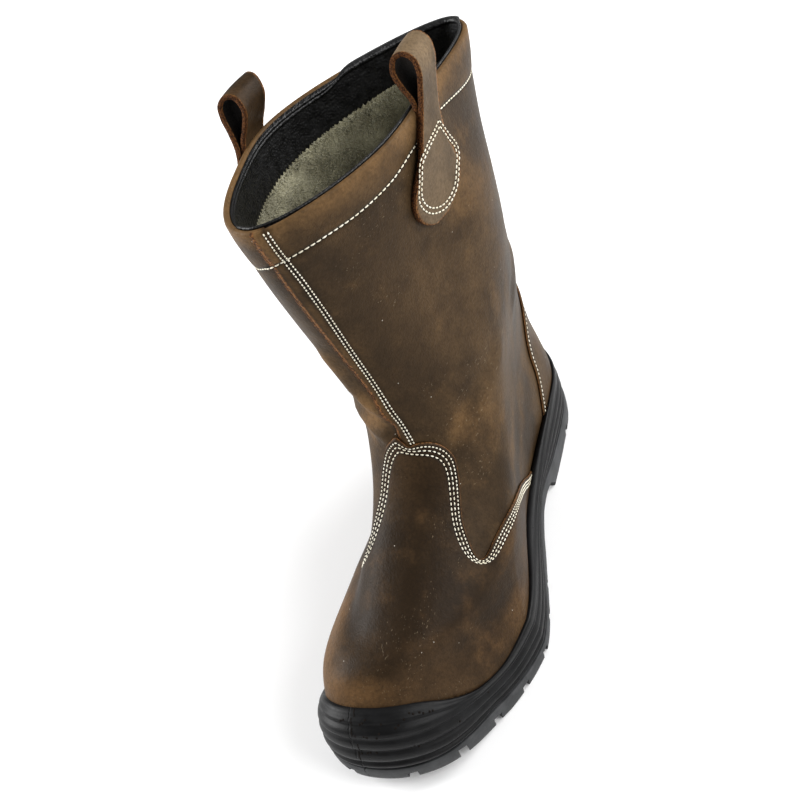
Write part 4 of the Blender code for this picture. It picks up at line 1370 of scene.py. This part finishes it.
# %% Seam and collar threads
SEAM_HALF = 0.95 / RIM_LENGTH
SEAM_PITCH = 2.0
COLLAR_PITCH = 3.2
COLLAR_SHARE = 0.9
SEAM_POINTS = 200
COLLAR_POINTS = 900

seam_v = np.linspace(SEAM_V[0], SEAM_V[-1], SEAM_POINTS)
seam_line = curve(SEAM_V, SEAM_AROUND, seam_v)
seam_runs = [run_on(seam_v, seam_line + side * SEAM_HALF, THREAD_LIFT) for side in (-1, 1)]
sew("seam_threads", seam_runs, "upper", [SEAM_PITCH] * len(seam_runs))
collar_around = np.linspace(-0.5, 0.5, COLLAR_POINTS)
collar_run = run_on(collar_seam(collar_around), collar_around, THREAD_LIFT)
sew("collar_threads", [collar_run], "upper", [COLLAR_PITCH], COLLAR_SHARE)

# %% Tab threads
TAB_PATH = (
    (0.969, 0.2535), (0.943, 0.2600), (0.916, 0.2670), (0.909, 0.2640), (0.900, 0.2550),
    (0.881, 0.2320), (0.8766, 0.2080), (0.889, 0.1850), (0.909, 0.1760), (0.938, 0.1850),
    (0.956, 0.1950), (0.961, 0.2080), (0.969, 0.2535),
)
TAB_ROWS = (0.0, 2.1)
TAB_HALF = 17.0
TAB_PITCH = 2.6
TAB_SHARE = 0.84
TAB_COUNT = 160

first_leg = slice(0, int(np.argmax(loop_table["height"])) + 1)


def strap_face(v):
    """How far the strap's outer face stands out of the shaft at share v."""
    leg_height, leg_out = (loop_table[column][first_leg] for column in ("height", "out"))
    return curve(leg_height, leg_out, (v - 1) * SHAFT_LENGTH) + STRAP / 2


tab_runs = []
for mirrored in (False, True):
    for inset in TAB_ROWS:
        tab_v, tab_around = drawn(TAB_PATH, TAB_COUNT)
        middle_v, middle_around = tab_v.mean(), tab_around.mean()
        shrink = 1 - inset / TAB_HALF
        tab_v = middle_v + (tab_v - middle_v) * shrink
        tab_around = middle_around + (tab_around - middle_around) * shrink
        if mirrored:
            tab_around = LOOP_PLACES["loop_inner"][0] + LOOP_PLACES["loop_outer"][0] - tab_around
        points = off_rings(tab_v, tab_around, strap_face(tab_v) + THREAD_LIFT)
        tab_runs.append((points, look_up(face_normals, tab_v, tab_around)))
sew("tab_threads", tab_runs, "pull_loops", [TAB_PITCH] * len(tab_runs), TAB_SHARE)

# %% [markdown]
# Foamed rubber keeps small blow holes and a torn line where its mould closed. The dark grain that paints
# the shade in a needle hole serves again: one paints the shade in each blow hole of the bumper, and a
# drawn-out row of them paints the shade along the torn line. Their places are shares up the cup's wall and
# round it.

# %% Blow holes
BLOW_HOLES = (
    (0.909, 0.985), (0.919, 0.988), (0.899, 0.000), (0.929, 0.004), (0.909, 0.002), (0.899, 0.015),
    (0.869, 0.023), (0.879, 0.026), (0.909, 0.029), (0.848, 0.013), (0.818, 0.002), (0.808, 0.004),
    (0.798, 0.010), (0.414, 0.996), (0.424, 0.000), (0.434, 0.003), (0.434, 0.006), (0.444, 0.031),
    (0.515, 0.029), (0.939, 0.033), (0.929, 0.036), (0.929, 0.039), (0.919, 0.042), (0.919, 0.045),
    (0.919, 0.048), (0.600, 0.060), (0.700, 0.090), (0.500, 0.120),
)
BLOW_SIZE = (0.75, 0.70, 0.25)
TEAR = ((0.990, 0.9960), (0.960, 0.9955), (0.919, 0.9942),
        (0.879, 0.9938), (0.848, 0.9944), (0.815, 0.9950))
LOW_TEAR = ((0.640, 0.9960), (0.465, 0.9950), (0.374, 0.9945), (0.293, 0.9940))
TEAR_GRAINS = 12
TEAR_SIZE = (0.95, 0.42, 0.22)


def on_cup(level, around):
    """A point of the cup's wall with the directions up it and out of it."""
    row = int(np.clip(round(level * (len(cup_wall) - 1)), 1, len(cup_wall) - 2))
    column = int(round(around * SOLE_COUNT)) % SOLE_COUNT
    up = cup_wall[row + 1, column] - cup_wall[row - 1, column]
    beside = cup_wall[row, (column + 1) % SOLE_COUNT] - cup_wall[row, column - 1]
    out = np.cross(beside, up)
    return cup_wall[row, column], up / np.linalg.norm(up), out / np.linalg.norm(out)


spots = [(*on_cup(*place), BLOW_SIZE) for place in BLOW_HOLES]
for tear in (TEAR, LOW_TEAR):
    tear_level, tear_around = np.array(tear).T
    steps = np.linspace(0, 1, TEAR_GRAINS)
    knots = np.linspace(0, 1, len(tear))
    levels, arounds = curve(knots, tear_level, steps), curve(knots, tear_around, steps)
    spots += [(*on_cup(*place), TEAR_SIZE) for place in zip(levels, arounds)]
hole_grains, grain_faces = [], []
for point, up, out, size in spots:
    turn = np.stack([up, np.cross(out, up), out])
    first = len(hole_grains) * len(hole_corners)
    hole_grains.append(point + (hole_corners / HOLE * size) @ turn)
    grain_faces += [tuple(first + corner for corner in face) for face in hole_faces]
new_piece("blow_holes", np.concatenate(hole_grains), grain_faces, [hole_finish.material], "midsole")

# %% [markdown]
# Cut leather frays and fleece is a pile of fibres. Each fibre is a thin spike of four triangles. A few
# thousand stand along the raw edges, and thirty thousand on the part of the lining that can be seen.
# Their directions are drawn at random with a fixed start, so the boot comes out the same each time.

# %% Fibres
FIBRE_START = 11
FIBRE_SPREAD = 0.45
FIBRE_LENGTHS = (0.4, 1.3)
FIBRE_ROOT = 0.25
LAP_TOP = 0.995
LAP_POINTS = 200
LAP_DEPTH = -0.5
LAP_BACK = 0.004
LAP_FIBRES = 900
LAP_FIBRE = (1.0, 0.07)
LOOP_FIBRES = 420
LOOP_FIBRE = (0.9, 0.06)
FLEECE_SHARE = (0.78, 0.935)
FLEECE_FIBRES = 30000
FLEECE_FIBRE = (3.0, 0.16)
RUST_SIZE = 3.0
RUST_TONES = ((0.05, 0.018, 0.006), (0.30, 0.12, 0.035))

draws = np.random.default_rng(FIBRE_START)
rust_finish = Finish("frayed_fibre")
rust_clouds = rust_finish.clouds(RUST_SIZE, 2.0)
rust_tone = rust_finish.mix(rust_clouds.between(0.35, 0.65), *RUST_TONES)
rust_finish.give(Base_Color=rust_tone, Roughness=rust_clouds * 0.2 + 0.7)


def fray(name, points, directions, length, thickness, slot, look):
    """A spike at each point, pointing about along its direction, with lengths around the given one."""
    count = len(points)
    aim = directions / np.linalg.norm(directions, axis=1, keepdims=True)
    aim = aim + draws.normal(0, FIBRE_SPREAD, (count, 3))
    aim /= np.linalg.norm(aim, axis=1, keepdims=True)
    side = np.cross(aim, draws.normal(0, 1, (count, 3)))
    side /= np.linalg.norm(side, axis=1, keepdims=True)
    third = np.cross(aim, side)
    tall = length * draws.uniform(*FIBRE_LENGTHS, (count, 1))
    root = points - aim * tall * FIBRE_ROOT
    feet = [root + side * thickness, root - side * thickness / 2 + third * thickness,
            root - side * thickness / 2 - third * thickness]
    corners = np.stack([*feet, root + aim * tall], 1).reshape(-1, 3)
    spike = np.array([(0, 2, 1), (0, 1, 3), (1, 2, 3), (2, 0, 3)])
    faces = (4 * np.arange(count)[:, None, None] + spike).reshape(-1, 3)
    return new_piece(name, corners, faces.tolist(), [look], slot)


def scatter(points, directions, count):
    """Random points along a line, with the line's directions."""
    walked = walked_length(points)
    at = draws.uniform(0, walked[-1], count)
    return [along_line(line, walked, at) for line in (points, directions)]


lap_v = np.linspace(LAP_RISE[1], LAP_TOP, LAP_POINTS)
lap_edge = on_leather(lap_v, SEAM_EDGE, LAP_DEPTH)
lap_inside = on_leather(lap_v, SEAM_EDGE + LAP_BACK, LAP_DEPTH)
lap_up = look_up(face_normals, lap_v, np.full(LAP_POINTS, SEAM_EDGE))
lap_spots = scatter(lap_edge, lap_edge - lap_inside + lap_up, LAP_FIBRES)
fray("lap_fibres", *lap_spots, *LAP_FIBRE, "upper", rust_finish.material)
loop_spots = [scatter(points, directions, LOOP_FIBRES) for points, directions in loop_sides]
loop_spots = [np.concatenate(lines) for lines in zip(*loop_spots)]
fray("loop_fibres", *loop_spots, *LOOP_FIBRE, "pull_loops", rust_finish.material)
fleece_v = draws.uniform(*FLEECE_SHARE, FLEECE_FIBRES)
fleece_around = draws.uniform(0, 1, FLEECE_FIBRES)
fleece_in = -look_up(face_normals, fleece_v, fleece_around)
fleece_depth = np.minimum(relief(fleece_v, fleece_around), 0) + FLEECE_OUT - FLEECE_LUMP * LUMP_MIDDLE
fleece_foot = off_rings(fleece_v, fleece_around, fleece_depth)
pile = fray("fleece_fibres", fleece_foot, fleece_in, *FLEECE_FIBRE, "insole", tips_lit_look)

# %% [markdown]
# The lining is cloth. A lining for a boot of this height is cut from a piece about as wide as the girth
# over the heel and as long as the way from the toe up to the facing, and about two thirds of it are left
# when the instep and the toe are cut to shape.

# %% [markdown]
# A pale floor that runs out of sight, wide soft lights from the outer side, the inner side and the back,
# and a bright room give the soft studio look of the photograph, with a faint shadow where the sole meets
# the floor.

# %% Floor and light
FLOOR_SIZE = 30.0
FLOOR_CLOUDS = 400.0
FLOOR_TONES = ((0.90, 0.90, 0.90), (0.92, 0.92, 0.92))
FLOOR_GLOW = 0.06
WHITE = (1.0, 1.0, 1.0, 1.0)
ROOM_LIGHT = 0.36
LAMP_SIZE = 1.6
LIGHTS = (
    ("key_light", (0.45, 2.1, 1.8), 50.0),
    ("side_light", (0.30, -2.2, 1.1), 84.0),
    ("back_light", (-1.5, 1.7, 1.3), 60.0),
)
AIM = Vector((0.0, 0.0, 0.15))

bpy.ops.object.select_all(action="DESELECT")
bpy.ops.mesh.primitive_plane_add(size=FLOOR_SIZE)
floor = bpy.context.object
floor.name = "studio_floor"
floor_finish = Finish("pale_floor")
floor_tone = floor_finish.mix(floor_finish.clouds(FLOOR_CLOUDS, 2.0), *FLOOR_TONES)
floor_finish.give(Base_Color=floor_tone, Roughness=0.9, Specular_IOR_Level=0.0)
floor_finish.give(Emission_Color=WHITE, Emission_Strength=FLOOR_GLOW)
floor.data.materials.append(floor_finish.material)

for light_name, place, power in LIGHTS:
    lamp = bpy.data.lights.new(light_name, "AREA")
    lamp.shape = "DISK"
    lamp.size = LAMP_SIZE
    lamp.energy = power
    holder = bpy.data.objects.new(light_name, lamp)
    holder.location = place
    holder.rotation_euler = (AIM - Vector(place)).to_track_quat("-Z", "Y").to_euler()
    bpy.context.scene.collection.objects.link(holder)
room = bpy.context.scene.world or bpy.data.worlds.new("room")
bpy.context.scene.world = room
room.use_nodes = True
room.node_tree.nodes["Background"].inputs["Color"].default_value = WHITE
room.node_tree.nodes["Background"].inputs["Strength"].default_value = ROOM_LIGHT
bpy.context.scene.view_settings.view_transform = "Standard"
print("lights:", len(LIGHTS))
